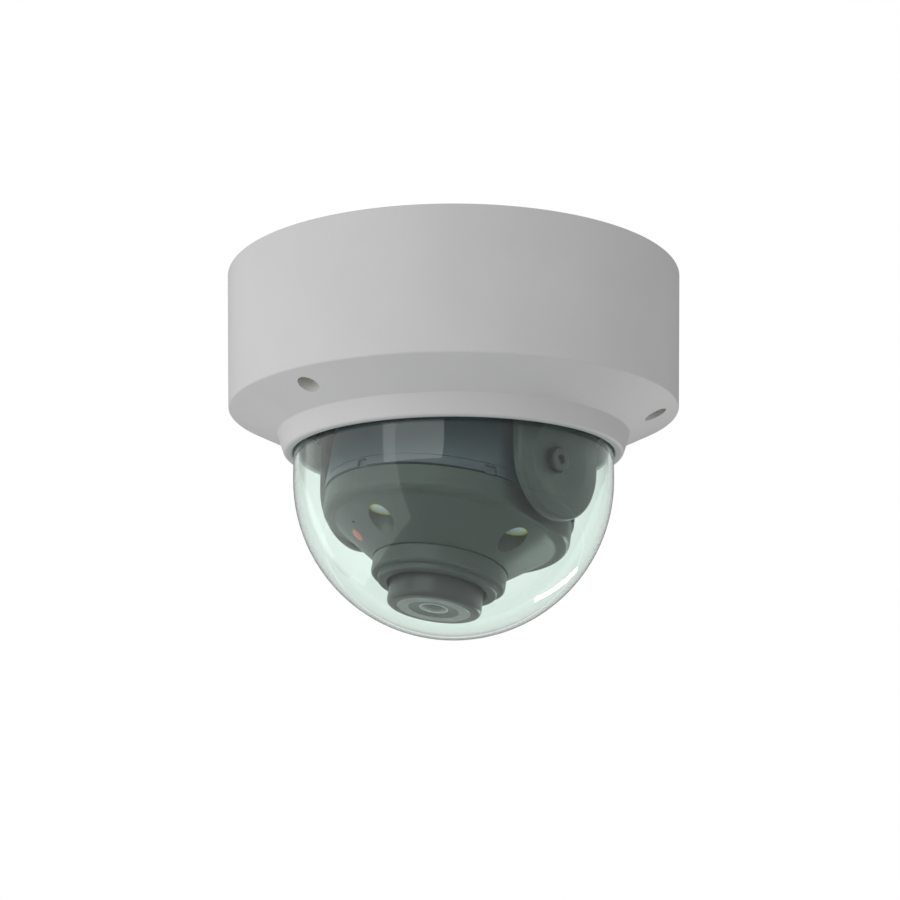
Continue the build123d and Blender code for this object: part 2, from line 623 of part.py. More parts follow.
def rear_shell():
    body = between_flats(rear_shell_profile(0), FLAT_X)
    body -= between_flats(rear_shell_profile(SHELL_WALL), FLAT_X - SHELL_WALL)
    groove_low = -BAND_DROP + BAND_HEIGHT
    body -= ring(REAR_RADIUS + 1, REAR_RADIUS - 0.4, groove_low, groove_low + BAND_GROOVE)
    for index in range(BAYONET_COUNT):
        slot = block((REAR_RADIUS, 0), (2.4, BAYONET_WIDTH), -BAND_DROP - 1, groove_low)
        body -= Rot(0, 0, 30 + 360 * index / BAYONET_COUNT) * slot
    shell_boss = along_x(FLAT_X - 7, FLAT_X - SHELL_WALL + 0.1, 6.5)
    body += shell_boss + mirror(shell_boss, Plane.YZ)
    body -= along_x(-FLAT_X - 1, FLAT_X + 1, PIVOT_SHANK_RADIUS + FIXED)
    inside = rear_shell_profile(SHELL_WALL / 2)
    for spot in shell_screw_spots():
        body += rod(spot, 3.8, 6, 60) & inside
    for spot in shell_screw_spots():
        body -= rod(spot, 3.0, 14, 60)
        body -= rod(spot, SCREW_M3 + 0.1, 0, 60)
    return in_module(body - rod((0, 0), 9.0, 20, 60))


def face_z(radius):
    """Height of the module's conical face at a radius, in the module's frame."""
    return -FACE_DROP - (FACE_RADIUS - radius) * math.tan(math.radians(FACE_SLOPE))


def on_face(spot, piece):
    """Set a piece drawn about Z square on the conical face at a spot."""
    turn = math.degrees(math.atan2(spot[1], spot[0]))
    radius = math.hypot(*spot)
    return Rot(0, 0, turn) * Pos(radius, 0, face_z(radius)) * Rot(0, -FACE_SLOPE, 0) * piece


def lamp_spots():
    return spread(LAMP_PITCH_RADIUS, LAMP_COUNT, 0.0)


def front_shell():
    neck_z = face_z(COLLAR_RADIUS + 0.3)
    outline = [
        (0, -FRONT_TOP_DROP), (FRONT_RADIUS, -FRONT_TOP_DROP), (FRONT_RADIUS - 0.2, -FACE_DROP + 0.6),
        (FACE_RADIUS, -FACE_DROP), (COLLAR_RADIUS + 0.3, neck_z), (0, neck_z),
    ]
    rounds = [((FRONT_RADIUS - 0.2, -FACE_DROP + 0.6), 3.4), ((FACE_RADIUS, -FACE_DROP), 3.0)]
    outside = turned(outline, rounds)
    body = between_flats(outside, FLAT_X)
    wall = SHELL_WALL
    hollow = [
        (0, -FRONT_TOP_DROP + 1), (FRONT_RADIUS - wall, -FRONT_TOP_DROP + 1),
        (FRONT_RADIUS - wall, -RIM_DROP), (FACE_RADIUS - 1.2, -FACE_DROP + wall),
        (BEARING_RADIUS, face_z(BEARING_RADIUS) + 2.5), (0, face_z(BEARING_RADIUS) + 2.5),
    ]
    body -= between_flats(turned(hollow), FLAT_X - wall)
    spigot_radius = REAR_RADIUS - SHELL_WALL - 0.2
    spigot = ring(spigot_radius, spigot_radius - 1.8, -FRONT_TOP_DROP - 1, -FRONT_TOP_DROP + 3.5)
    spigot = between_flats(spigot, FLAT_X - SHELL_WALL - 0.2)
    body += spigot
    sleeve_low, sleeve_high = neck_z, bearing_top_z()
    body += rod((0, 0), BEARING_RADIUS + RUNNING + 2.0, sleeve_low + 0.01, sleeve_high)
    for spot in lamp_spots():
        cup = rod(spot, POCKET_RADIUS + 1.3, face_z(COLLAR_RADIUS), lamp_back_z())
        body += cup & outside
    post_space = turned(post_limit())
    for spot in shell_screw_spots():
        body += rod(spot, 3.8, face_z(FACE_RADIUS) - 4, 5.9) & post_space
    for spot in lamp_spots():
        body -= rod(spot, POCKET_RADIUS, -80, -LAMP_FLOOR_DROP + LAMP_WINDOW_THICKNESS)
        body -= rod(spot, POCKET_RADIUS - 1.2, -80, 0)
    for spot in shell_screw_spots():
        body -= rod(spot, SCREW_M3 + THREAD, -7, 6)
    body -= rod((0, 0), BEARING_RADIUS + RUNNING, -80, 0)
    body -= on_face(STATUS_AT, Cylinder(STATUS_RADIUS + FIXED, 8))
    body -= on_face(MICROPHONE_AT, Cylinder(MICROPHONE_HOLE_RADIUS, 8))
    return in_module(body)


def post_limit():
    """Space in which the front shell's screw posts may stand."""
    return [
        (0, 6), (FRONT_RADIUS - 3, 6), (FRONT_RADIUS - 3, -RIM_DROP), (FACE_RADIUS, -FACE_DROP + 0.5),
        (BEARING_RADIUS, face_z(BEARING_RADIUS) + 1), (0, face_z(BEARING_RADIUS) + 1),
    ]


def bearing_top_z():
    return face_z(COLLAR_RADIUS) + 8.0


def lamp_back_z():
    return -LAMP_FLOOR_DROP + LAMP_WINDOW_THICKNESS + 1.2


def lamp_windows():
    low, high = -LAMP_FLOOR_DROP, -LAMP_FLOOR_DROP + LAMP_WINDOW_THICKNESS
    pieces = []
    for spot in lamp_spots():
        window = rod(spot, POCKET_RADIUS - LAMP_SEAL, low, high)
        pieces.append(fillet(window.edges().sort_by(Axis.Z)[0], 0.4))
    return in_module(group(pieces))


def lamp_seals():
    low, high = -LAMP_FLOOR_DROP, -LAMP_FLOOR_DROP + LAMP_WINDOW_THICKNESS
    outer, inner = POCKET_RADIUS - FIXED, POCKET_RADIUS - LAMP_SEAL + FIXED
    return in_module(group(tube_at(spot, outer, inner, low, high) for spot in lamp_spots()))


def lamp_board():
    low = lamp_back_z() + 1.6
    inner = BEARING_RADIUS + 3.2
    outer = LAMP_PITCH_RADIUS + POCKET_RADIUS
    board = ring(outer, inner, low, low + 1.6)
    for spot in shell_screw_spots():
        board -= rod(spot, 4.1, low - 1, low + 3)
    return in_module(board)


def lamp_emitters():
    base = lamp_back_z() + 1.6
    pieces = []
    for spot in lamp_spots():
        body = block(spot, (4.2, 4.2), base - 0.9, base)
        lens = Pos(spot[0], spot[1], base - 0.9) * Sphere(1.5)
        pieces.append(body + (lens & block(spot, (6, 6), base - 3, base - 0.5)))
    return in_module(group(pieces))


def status_window():
    disc = Pos(0, 0, 0.85) * Cylinder(STATUS_RADIUS, 2.0)
    return in_module(on_face(STATUS_AT, fillet(disc.edges().sort_by(Axis.Z)[0], 0.3)))


def microphone():
    return in_module(on_face(MICROPHONE_AT, Pos(0, 0, 3.6) * Cylinder(1.9, 1.6)))


def shell_screws():
    pieces = []
    for spot in shell_screw_spots():
        upright = screw((0, 0), SCREW_M3, 18.0, 2.8, 2.2, 0)
        pieces.append(Pos(*spot, 14) * Rot(180, 0, 0) * upright)
    return in_module(group(pieces))


def pivot_washers():
    start, end = FLAT_X, FLAT_X + WASHER_THICKNESS
    washer = along_x(start, end, 8.0) - along_x(start - 1, end + 1, PIVOT_SHANK_RADIUS + FIXED)
    return in_module(both_sides(washer))


def pivot_screws():
    seat = ARM_OUTER_X - DISH_DEPTH + 0.1
    body = along_x(FLAT_X - 6, seat + 0.01, PIVOT_SHANK_RADIUS)
    head = along_x(seat, seat + PIVOT_HEAD_HEIGHT, PIVOT_HEAD_RADIUS)
    head = fillet(head.edges().sort_by(Axis.X)[-1], 1.0)
    hexagon = extrude(RegularPolygon(PIVOT_SOCKET_RADIUS, 6), 1.5, both=True)
    socket = Pos(seat + PIVOT_HEAD_HEIGHT, 0, 0) * Rot(0, 90, 0) * hexagon
    return in_module(both_sides(body + head - socket))


# --------------------------------------------------------- turning lens carrier
def lens_collar():
    face = face_z(COLLAR_RADIUS) - 0.15
    mouth = -MOUTH_DROP
    rear = bearing_top_z() + 3.0
    clip_low = bearing_top_z() + 0.2
    profile = [
        (COLLAR_MOUTH_RADIUS, mouth), (COLLAR_STEP_RADIUS, mouth), (COLLAR_STEP_RADIUS, mouth + 2.3),
        (COLLAR_RADIUS, mouth + 2.3), (COLLAR_RADIUS, face), (BEARING_RADIUS, face),
        (BEARING_RADIUS, clip_low), (BEARING_RADIUS - 0.9, clip_low),
        (BEARING_RADIUS - 0.9, clip_low + 1.5), (BEARING_RADIUS, clip_low + 1.5),
        (BEARING_RADIUS, rear), (BARREL_RADIUS - 1, rear), (BARREL_RADIUS - 1, rear - 2.0),
        (BARREL_RADIUS + 4.1, rear - 2.0), (BARREL_RADIUS + 4.1, mouth + 2.0),
        (COLLAR_MOUTH_RADIUS, mouth + 2.0),
    ]
    rounds = [
        ((COLLAR_RADIUS, mouth + 2.3), 2.2),
        ((COLLAR_STEP_RADIUS, mouth), 1.4),
        ((COLLAR_MOUTH_RADIUS, mouth), 0.4),
    ]
    return in_module(turned(profile, rounds))


def collar_clip():
    low = bearing_top_z() + 0.25
    return in_module(ring(BEARING_RADIUS + 1.8, BEARING_RADIUS - 0.85, low, low + 1.4))


def holder_low_z():
    return bearing_top_z() + 3.0


def lens_holder():
    low = holder_low_z()
    plate = rod((0, 0), BEARING_RADIUS - 1, low, low + 2)
    case = block((0, 0), (34, 20), low + 1.9, low + 9)
    pocket = block((0, 0), (30, 16), low + 3, low + 10)
    tube = tube_at((0, 0), 10.5, 9.0, low - 3.5, low + 0.1)
    return in_module(plate + case + tube - pocket - rod((0, 0), 6.0, low - 5, low + 5))


def sensor_board():
    low = holder_low_z() + 9
    board = block((0, 0), (SENSOR_BOARD_SIZE, SENSOR_BOARD_SIZE - 8), low, low + 1.6)
    for x in (-15.5, 15.5):
        board -= rod((x, 11), SCREW_M2 + 0.1, low - 1, low + 3)
    return in_module(board)


def sensor_connector():
    low = holder_low_z() + 10.6
    shell = block((0, -9), (15, 4.5), low, low + 3.0)
    return in_module(shell - block((0, -9), (13, 2.6), low + 1, low + 4))


def image_sensor():
    high = holder_low_z() + 9
    body = block((0, 0), (9.5, 8.0), high - 1.6, high)
    return in_module(body - block((0, 0), (7.6, 6.2), high - 2, high - 1.4))


def filter_frame():
    low = holder_low_z() + 3.6
    centre = FILTER_TRAVEL / 2
    frame = block((centre, 0), (19.5, 13), low, low + 1.4)
    for x in (0.0, FILTER_TRAVEL):
        frame -= rod((x, 0), 3.2, low - 1, low + 3)
    return in_module(frame)


def filter_glasses():
    low = holder_low_z() + 3.8
    return in_module(group(rod((x, 0), 3.2 - FIXED, low, low + 1.0) for x in (0.0, FILTER_TRAVEL)))


def filter_motor():
    low = holder_low_z() + 2
    body = block((0, 13.2), (12, 6.2), low, low + 6)
    return in_module(body + rod((0, 13.2), 2.4, low + 5.9, low + 6.6))


def cell_rear_z():
    return holder_low_z() - 5.5


def focus_ring():
    front = -LENS_DROP
    rear = cell_rear_z() + 1.0
    bore = CELL_RADIUS + RUNNING
    lip = FRONT_RING_RADIUS + RUNNING
    lip_back = front + 1.2
    profile = [
        (lip, front), (BARREL_RADIUS, front), (BARREL_RADIUS, rear - 2.2), (BARREL_RADIUS + 3.2, rear - 2.2),
        (BARREL_RADIUS + 3.2, rear), (bore, rear), (bore, lip_back), (lip, lip_back),
    ]
    return in_module(turned(profile, [((BARREL_RADIUS, front), BARREL_ROUND)]))


def lens_cell():
    front = -LENS_DROP + 1.2 + FOCUS_TRAVEL + 0.3
    rear = cell_rear_z()
    inner = CELL_RADIUS - CELL_WALL
    profile = [
        (inner, front), (CELL_RADIUS, front), (CELL_RADIUS, rear), (11.0, rear),
        (11.0, rear - 1.5), (inner, rear - 1.5),
    ]
    return in_module(turned(profile))


def front_ring():
    front = -LENS_DROP
    back = front + 1.1
    spigot = CELL_RADIUS - CELL_WALL - FIXED
    profile = [
        (CONE_RING_RADIUS, front), (FRONT_RING_RADIUS, front), (FRONT_RING_RADIUS, back),
        (spigot, back), (spigot, back + 5.5), (CONE_RING_RADIUS, back + 5.5),
    ]
    return in_module(turned(profile, [((FRONT_RING_RADIUS, front), 0.25)]))


def cone_ring():
    front = -LENS_DROP + 0.15
    outer = CONE_RING_RADIUS - FIXED
    profile = [
        (TRIM_RING_RADIUS, front + 0.6), (outer, front),
        (outer, front + 2.2), (TRIM_RING_RADIUS, front + 2.2),
    ]
    return in_module(turned(profile))


def lens_trim_ring():
    front = -LENS_DROP + 0.55
    outer = TRIM_RING_RADIUS - FIXED
    return in_module(ring(outer, LENS_RADIUS, front, front + 2.0))


def front_lens():
    back = -LENS_DROP + 2.9
    bulge = 1.9
    ball = (LENS_RADIUS ** 2 + bulge ** 2) / (2 * bulge)
    body = rod((0, 0), LENS_RADIUS - FIXED, back - 3.4, back)
    return in_module(body & Pos(0, 0, back - 2.0 + ball - bulge) * Sphere(ball))


def rear_lens():
    centre = cell_rear_z() - 4.0
    body = rod((0, 0), 9.3, centre - 1.6, centre + 1.6)
    return in_module(body & Pos(0, 0, centre - 20) * Sphere(21.6) & Pos(0, 0, centre + 20) * Sphere(21.6))


def lens_spacer():
    centre = cell_rear_z() - 4.0
    inner = CELL_RADIUS - CELL_WALL - FIXED
    return in_module(ring(inner, 9.3 + FIXED, centre - 1.3, centre + 1.3))


# ------------------------------------------------------------------------ write
NODES = {
    "base_casting": base_casting,
    "ceiling_gasket": ceiling_gasket,
    "cable_grommet": cable_grommet,
    "chassis_ring": chassis_ring,
    "chassis_screws": chassis_screws,
    "pan_friction_ring": pan_friction_ring,
    "main_board": main_board,
    "board_screws": board_screws,
    "network_jack": network_jack,
    "power_terminal": power_terminal,
    "card_slot": card_slot,
    "processor": processor,
    "capacitors": capacitors,
    "module_connector": module_connector,
    "reset_switch": reset_switch,
    "reset_button": reset_button,
    "cover": cover,
    "cover_gasket": cover_gasket,
    "cover_screws": cover_screws,
    "screw_retainers": screw_retainers,
    "dome": dome,
    "dome_gasket": dome_gasket,
    "dome_retaining_ring": dome_retaining_ring,
    "retaining_screws": retaining_screws,
    "yoke": yoke,
    "pan_retainer": pan_retainer,
    "retainer_screws": retainer_screws,
    "pivot_bushes": pivot_bushes,
    "pivot_screws": pivot_screws,
    "pivot_washers": pivot_washers,
    "rear_shell": rear_shell,
    "front_shell": front_shell,
    "shell_screws": shell_screws,
    "lamp_board": lamp_board,
    "lamp_emitters": lamp_emitters,
    "lamp_windows": lamp_windows,
    "lamp_seals": lamp_seals,
    "status_window": status_window,
    "microphone": microphone,
    "lens_collar": lens_collar,
    "collar_clip": collar_clip,
    "lens_holder": lens_holder,
    "sensor_board": sensor_board,
    "sensor_connector": sensor_connector,
    "image_sensor": image_sensor,
    "filter_frame": filter_frame,
    "filter_glasses": filter_glasses,
    "filter_motor": filter_motor,
    "focus_ring": focus_ring,
    "lens_cell": lens_cell,
    "front_ring": front_ring,
    "cone_ring": cone_ring,
    "lens_trim_ring": lens_trim_ring,
    "front_lens": front_lens,
    "rear_lens": rear_lens,
    "lens_spacer": lens_spacer,
}


def write_nodes():
    os.makedirs("parts", exist_ok=True)
    for name, make in NODES.items():
        export_step(make(), f"parts/{name}.step")


write_nodes()
print(f"housing diameter {2 * HOUSING_RADIUS:.1f}, dome diameter {2 * DOME_RADIUS:.1f}")
print(f"tilt axis height {PIVOT_Z:.1f}, overall height {DOME_RADIUS - PIVOT_Z:.1f}")
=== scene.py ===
"""Looks of a ceiling dome camera, laid out as an add-on.

Sizes and finishes are properties, each piece or group of like pieces has an operator, and a
panel lists them. Lengths are metres in the frame of the CAD model: +Z up, origin at the centre
of the ceiling face. Pieces of the lens module are drawn about their own Z axis, with the origin
on the tilt axis and the lens towards -Z, and then set at the module's lean.
"""

import json
import math

import bmesh
import bpy
from bpy.props import FloatProperty, FloatVectorProperty, PointerProperty
from mathutils import Matrix, Vector


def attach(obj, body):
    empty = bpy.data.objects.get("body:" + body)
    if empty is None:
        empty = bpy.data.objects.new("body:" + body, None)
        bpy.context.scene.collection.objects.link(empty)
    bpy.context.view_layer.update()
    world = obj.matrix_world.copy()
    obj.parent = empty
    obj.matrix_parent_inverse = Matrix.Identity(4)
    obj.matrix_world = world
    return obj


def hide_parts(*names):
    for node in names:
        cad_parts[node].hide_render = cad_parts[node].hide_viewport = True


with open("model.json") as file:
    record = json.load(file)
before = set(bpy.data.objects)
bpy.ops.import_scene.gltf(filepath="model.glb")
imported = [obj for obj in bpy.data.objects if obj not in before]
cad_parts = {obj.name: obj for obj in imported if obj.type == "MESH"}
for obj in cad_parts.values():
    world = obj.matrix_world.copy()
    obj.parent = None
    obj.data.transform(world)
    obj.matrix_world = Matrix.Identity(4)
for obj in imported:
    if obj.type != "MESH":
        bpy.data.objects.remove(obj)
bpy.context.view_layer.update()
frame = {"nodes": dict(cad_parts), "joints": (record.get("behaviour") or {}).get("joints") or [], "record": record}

bl_info = {
    "name": "Ceiling Dome Camera",
    "version": (1, 0, 0),
    "blender": (4, 5, 0),
    "location": "3D View > Sidebar > Dome Camera",
    "description": "Builds the visible pieces, finishes and studio of a ceiling dome camera",
    "category": "Object",
}

MM = 0.001
JOINTS = {joint["name"]: joint for joint in frame["joints"]}
PIVOT = Vector(JOINTS["tilt"]["pos_m"])
LENS_AXIS = Vector(JOINTS["roll"]["axis"])
LEAN = math.atan2(LENS_AXIS.y, -LENS_AXIS.z)
UPRIGHT = Matrix.Identity(4)
MODULE = Matrix.Translation(PIVOT) @ Matrix.Rotation(LEAN, 4, "X")
FIT = 0.02 * MM
WINDOW_RADIUS = 4.2 * MM
ARC_STEP = math.radians(9)
SHARP_ANGLE = math.radians(34)
ROUND_STEPS = 224
SMALL_STEPS = 72


class Reach:
    """How far a CAD node reaches in a piece's own frame: radii about Z, and heights."""

    def __init__(self, node, placed=UPRIGHT):
        back = placed.inverted()
        self.points = [back @ vertex.co for vertex in frame["nodes"][node].data.vertices]
        self.inner = min(point.xy.length for point in self.points)
        self.outer = max(point.xy.length for point in self.points)
        self.low = min(point.z for point in self.points)
        self.high = max(point.z for point in self.points)
        self.side = max(point.x for point in self.points)
        self.spread = (max(point.y for point in self.points) - min(point.y for point in self.points)) / 2


COVER = Reach("cover")
DOME = Reach("dome")
DOME_SPHERE = PIVOT.z - DOME.low
BASE = Reach("base_casting")
REAR = Reach("rear_shell", MODULE)
FRONT = Reach("front_shell", MODULE)
COLLAR = Reach("lens_collar", MODULE)
BARREL = Reach("focus_ring", MODULE)
RIM_RING = Reach("front_ring", MODULE)
CONE = Reach("cone_ring", MODULE)
TRIM = Reach("lens_trim_ring", MODULE)
FRONT_LENS = Reach("front_lens", MODULE)
WINDOWS = Reach("lamp_windows", MODULE)
COVER_SCREWS = Reach("cover_screws")
YOKE = Reach("yoke")
BUSHES = Reach("pivot_bushes")
PIVOT_BOLTS = Reach("pivot_screws", MODULE)


# ------------------------------------------------------------------------ properties
def length(name, description, default):
    return FloatProperty(name=name, description=description, default=default, unit="LENGTH", precision=5)


def colour(name, description, default):
    return FloatVectorProperty(
        name=name, description=description, default=default, subtype="COLOR", size=3, min=0.0, max=1.0
    )


class HousingSizes(bpy.types.PropertyGroup):
    skirt_height: length("Skirt height", "Ceiling to the foot of the cover's side wall", 53.2 * MM)
    skirt_draft: length("Skirt draft", "How much narrower the side wall is at its foot", 1.6 * MM)
    shoulder_drop: length("Shoulder drop", "Fall of the sloping underside", 9.0 * MM)
    shoulder_width: length("Shoulder width", "Run of the sloping underside", 18.6 * MM)
    wall: length("Wall", "Thickness of the cast cover", 2.6 * MM)
    lip_lean: length("Lip lean", "How much narrower the collar is at its lip", 2.6 * MM)
    lip_round: length("Lip rounding", "Rounding of the collar's outer lip", 1.6 * MM)
    bore_round: length("Bore rounding", "Rounding of the collar's inner lip", 0.9 * MM)
    edge_round: length("Edge rounding", "Rounding of the foot of the side wall", 0.9 * MM)
    bubble_gap: length("Bubble gap", "Air between the bubble and the collar", 0.3 * MM)
    bubble_wall: length("Bubble wall", "Thickness of the clear bubble", 1.8 * MM)
    recess_radius: length("Screw recess radius", "Radius of the recesses of the captive screws", 4.0 * MM)
    recess_depth: length("Screw recess depth", "Depth of those recesses at their middle", 8.2 * MM)
    screw_head: length("Screw head radius", "Head radius of the captive screws", 3.5 * MM)


class ModuleSizes(bpy.types.PropertyGroup):
    flat_softness: length("Flat softness", "Rounding where the shells' flats begin", 1.6 * MM)
    shell_wall: length("Shell wall", "Thickness of the two shells", 2.0 * MM)
    band_height: length("Band height", "Height of the band at the rear shell's edge", 2.8 * MM)
    groove: length("Groove", "Width of the groove above the band", 0.5 * MM)
    notch_width: length("Notch width", "Width of the notches in the band", 5.4 * MM)
    rim_width: length("Rim width", "Width of the front shell's rounded rim", 5.0 * MM)
    pocket_radius: length("Lamp pocket radius", "Radius of the lamp pockets", 5.0 * MM)
    window_radius: length("Lamp window radius", "Radius of the pale lamp windows", WINDOW_RADIUS)
    arm_round: length("Arm rounding", "Rounding of the arms' outer edges", 1.5 * MM)
    arm_thickness: length("Arm thickness", "Thickness of the arms at their edges", 4.0 * MM)
    arm_half_width: length("Arm half width", "Half the width of the arms", 22.0 * MM)
    dish_radius: length("Dish radius", "Radius of the dish about each pivot", 15.0 * MM)
    dish_depth: length("Dish depth", "Depth of that dish", 2.2 * MM)
    spot_face: length("Spot face", "Depth of the flat under the pivot screw's head", 0.25 * MM)


class FinishColours(bpy.types.PropertyGroup):
    cover_paint: colour("Cover paint", "Powder coat of the cover and base", (0.60, 0.60, 0.60))
    bubble_tint: colour("Bubble tint", "Tint of the clear bubble", (0.875, 0.962, 0.92))
    rear_paint: colour("Rear shell", "Blue-grey of the rear shell", (0.052, 0.066, 0.088))
    front_plastic: colour("Front shell", "Green-grey of the front shell and collar", (0.046, 0.055, 0.051))
    yoke_plastic: colour("Yoke", "Dark green-grey of the yoke", (0.042, 0.049, 0.047))
    barrel_black: colour("Barrel", "Near black of the focus barrel", (0.018, 0.019, 0.019))
    rim_silver: colour("Front ring", "Light grey of the lens's front ring", (0.42, 0.43, 0.43))
    cone_green: colour("Cone ring", "Green-grey of the conical ring", (0.055, 0.075, 0.068))
    trim_white: colour("Trim ring", "White of the thin trim ring", (0.72, 0.73, 0.72))
    lamp_white: colour("Lamp window", "Frosted white of the lamp windows", (0.62, 0.66, 0.64))
    lamp_yellow: colour("Lamp seal", "Yellow of the lamp seals", (0.62, 0.58, 0.05))
    status_red: colour("Status window", "Red of the status window", (0.50, 0.06, 0.05))
    screw_yellow: colour("Captive screws", "Yellow passivated steel", (0.72, 0.70, 0.10))


class StudioSettings(bpy.types.PropertyGroup):
    focal_length: FloatProperty(name="Focal length", description="Camera lens, millimetres", default=76.53)
    distance: length("Distance", "Camera to the object's axis, measured level", 0.7049)
    height: length("Height", "Camera height, below the ceiling", -0.2342)
    azimuth: FloatProperty(
        name="Azimuth", description="Side the camera stands on", default=math.radians(-48.5), subtype="ANGLE"
    )
    pitch: FloatProperty(
        name="Pitch", description="Upward tilt of the camera", default=math.radians(13.33), subtype="ANGLE"
    )
    shift: FloatProperty(name="Shift", description="Sideways shift of the picture", default=-0.004)
    floor_height: length("Floor height", "Room floor below the ceiling", -2.2)
    window_power: FloatProperty(name="Window power", description="Power of the large side panel", default=9.0)
    fill_power: FloatProperty(name="Fill power", description="Power of the panel by the camera", default=4.0)
    strip_power: FloatProperty(name="Strip power", description="Power of the narrow rear strip", default=1.2)
    backdrop: FloatProperty(name="Backdrop", description="Brightness of the white surroundings", default=1.0)
    ambient: FloatProperty(name="Ambient", description="Soft light from all sides", default=0.62)
    mirrored: FloatProperty(name="Mirrored", description="Surroundings seen in reflections", default=0.12)


# ----------------------------------------------------------------------- shader maths
class Socket:
    """An output of a shader node. Arithmetic on it adds Math nodes to its tree."""

    def __init__(self, finish, output):
        self.finish = finish
        self.output = output

    def maths(self, operation, first, second):
        return self.finish.node("ShaderNodeMath", {"operation": operation}, {0: first, 1: second})

    def __add__(self, other):
        return self.maths("ADD", self, other)

    def __radd__(self, other):
        return self.maths("ADD", other, self)

    def __sub__(self, other):
        return self.maths("SUBTRACT", self, other)

    def __rsub__(self, other):
        return self.maths("SUBTRACT", other, self)

    def __mul__(self, other):
        return self.maths("MULTIPLY", self, other)

    def __rmul__(self, other):
        return self.maths("MULTIPLY", other, self)

    def __gt__(self, other):
        return self.maths("GREATER_THAN", self, other)

    def __lt__(self, other):
        return self.maths("LESS_THAN", self, other)


class Finish:
    """A material being made: its node tree, and the one method that adds nodes to it."""

    def __init__(self, name):
        self.material = bpy.data.materials.new(name)
        self.material.use_nodes = True
        self.tree = self.material.node_tree
        self.tree.nodes.clear()
        self.place = self.node("ShaderNodeTexCoord", output="Object")

    def node(self, kind, settings=None, sockets=None, output=0):
        made = self.tree.nodes.new(kind)
        for setting, value in (settings or {}).items():
            if setting == "stops":
                self.set_stops(made.color_ramp, value)
            else:
                setattr(made, setting, value)
        for socket, value in (sockets or {}).items():
            if isinstance(value, Socket):
                self.tree.links.new(value.output, made.inputs[socket])
            else:
                made.inputs[socket].default_value = value
        return Socket(self, made.outputs[output])

    def set_stops(self, ramp, stops):
        for index, (position, tone) in enumerate(stops):
            stop = ramp.elements[index] if index < 2 else ramp.elements.new(position)
            stop.position = position
            stop.color = (tone, tone, tone, 1.0)

    def noise(self, size, detail=3.0, place=None):
        sockets = {"Vector": place or self.place, "Scale": 1.0 / size, "Detail": detail}
        return self.node("ShaderNodeTexNoise", None, sockets, "Fac")

    def cells(self, size, feature="F1", output="Distance", place=None):
        sockets = {"Vector": place or self.place, "Scale": 1.0 / size}
        return self.node("ShaderNodeTexVoronoi", {"feature": feature}, sockets, output)

    def ramp(self, value, *stops):
        return self.node("ShaderNodeValToRGB", {"stops": stops}, {"Fac": value}, "Color")

    def stretched(self, x, y, z):
        """The piece's own coordinates, scaled along each axis."""
        return self.node("ShaderNodeMapping", None, {"Vector": self.place, "Scale": (x, y, z)})

    def mix(self, factor, first, second):
        """Blend of two colours by a factor."""
        sockets = {0: factor, 6: first, 7: second}
        return self.node("ShaderNodeMix", {"data_type": "RGBA"}, sockets, 2)

    def bump(self, height, depth, strength=1.0):
        return self.node("ShaderNodeBump", None, {"Height": height, "Distance": depth, "Strength": strength})

    def principled(self, **sockets):
        named = {name.replace("_", " "): value for name, value in sockets.items()}
        return self.node("ShaderNodeBsdfPrincipled", None, named)

    def done(self, surface):
        output = self.tree.nodes.new("ShaderNodeOutputMaterial")
        self.tree.links.new(surface.output, output.inputs["Surface"])
        return self.material


def opaque(rgb, tone=1.0):
    """A colour with full alpha, lightened or darkened."""
    return tuple(min(1.0, channel * tone) for channel in rgb) + (1.0,)


# --------------------------------------------------------------------------- finishes
def powder_coat(name, rgb, roughness=0.52, grain=0.9 * MM, depth=0.03 * MM):
    """Powder coat: fine orange peel, faint mottling and a little dust in the roughness."""
    finish = Finish(name)
    peel = finish.noise(grain, 2.0)
    clouds = finish.noise(34 * MM, 4.0)
    specks = finish.cells(2.6 * MM)
    tone = finish.mix(finish.ramp(clouds, (0.3, 0.0), (0.7, 1.0)), opaque(rgb, 0.975), opaque(rgb, 1.02))
    tone = finish.mix((specks < 0.06) * 0.35, tone, opaque(rgb, 0.82))
    surface = finish.principled(
        Base_Color=tone,
        Roughness=roughness + (clouds - 0.5) * 0.10 + (peel - 0.5) * 0.08,
        Normal=finish.bump(peel, depth, 0.7),
    )
    return finish.done(surface)


def moulded(name, rgb, roughness=0.45, grain=0.45 * MM, depth=0.010 * MM):
    """Moulded plastic with a spark-eroded texture and faint flow marks."""
    finish = Finish(name)
    texture = finish.noise(grain, 2.0)
    flow = finish.noise(18 * MM, 3.0, finish.stretched(1.0, 1.0, 0.35))
    tone = finish.mix(finish.ramp(flow, (0.3, 0.0), (0.7, 1.0)), opaque(rgb, 0.93), opaque(rgb, 1.06))
    surface = finish.principled(
        Base_Color=tone,
        Roughness=roughness + (flow - 0.5) * 0.12 + (texture - 0.5) * 0.06,
        Normal=finish.bump(texture, depth, 0.6),
    )
    return finish.done(surface)


def turned_metal(name, rgb, roughness=0.30, lay=0.22 * MM):
    """Metal with the fine lay of turning or rolling, and patches of slightly duller plating."""
    finish = Finish(name)
    lines = finish.noise(lay, 1.0, finish.stretched(1.0, 1.0, 0.06))
    patches = finish.noise(5 * MM, 3.0)
    tone = finish.mix(finish.ramp(patches, (0.35, 0.0), (0.75, 1.0)), opaque(rgb), opaque(rgb, 0.80))
    surface = finish.principled(
        Base_Color=tone,
        Metallic=1.0,
        Roughness=roughness + (patches - 0.5) * 0.16 + (lines - 0.5) * 0.14,
        Normal=finish.bump(lines, 0.008 * MM, 0.5),
    )
    return finish.done(surface)


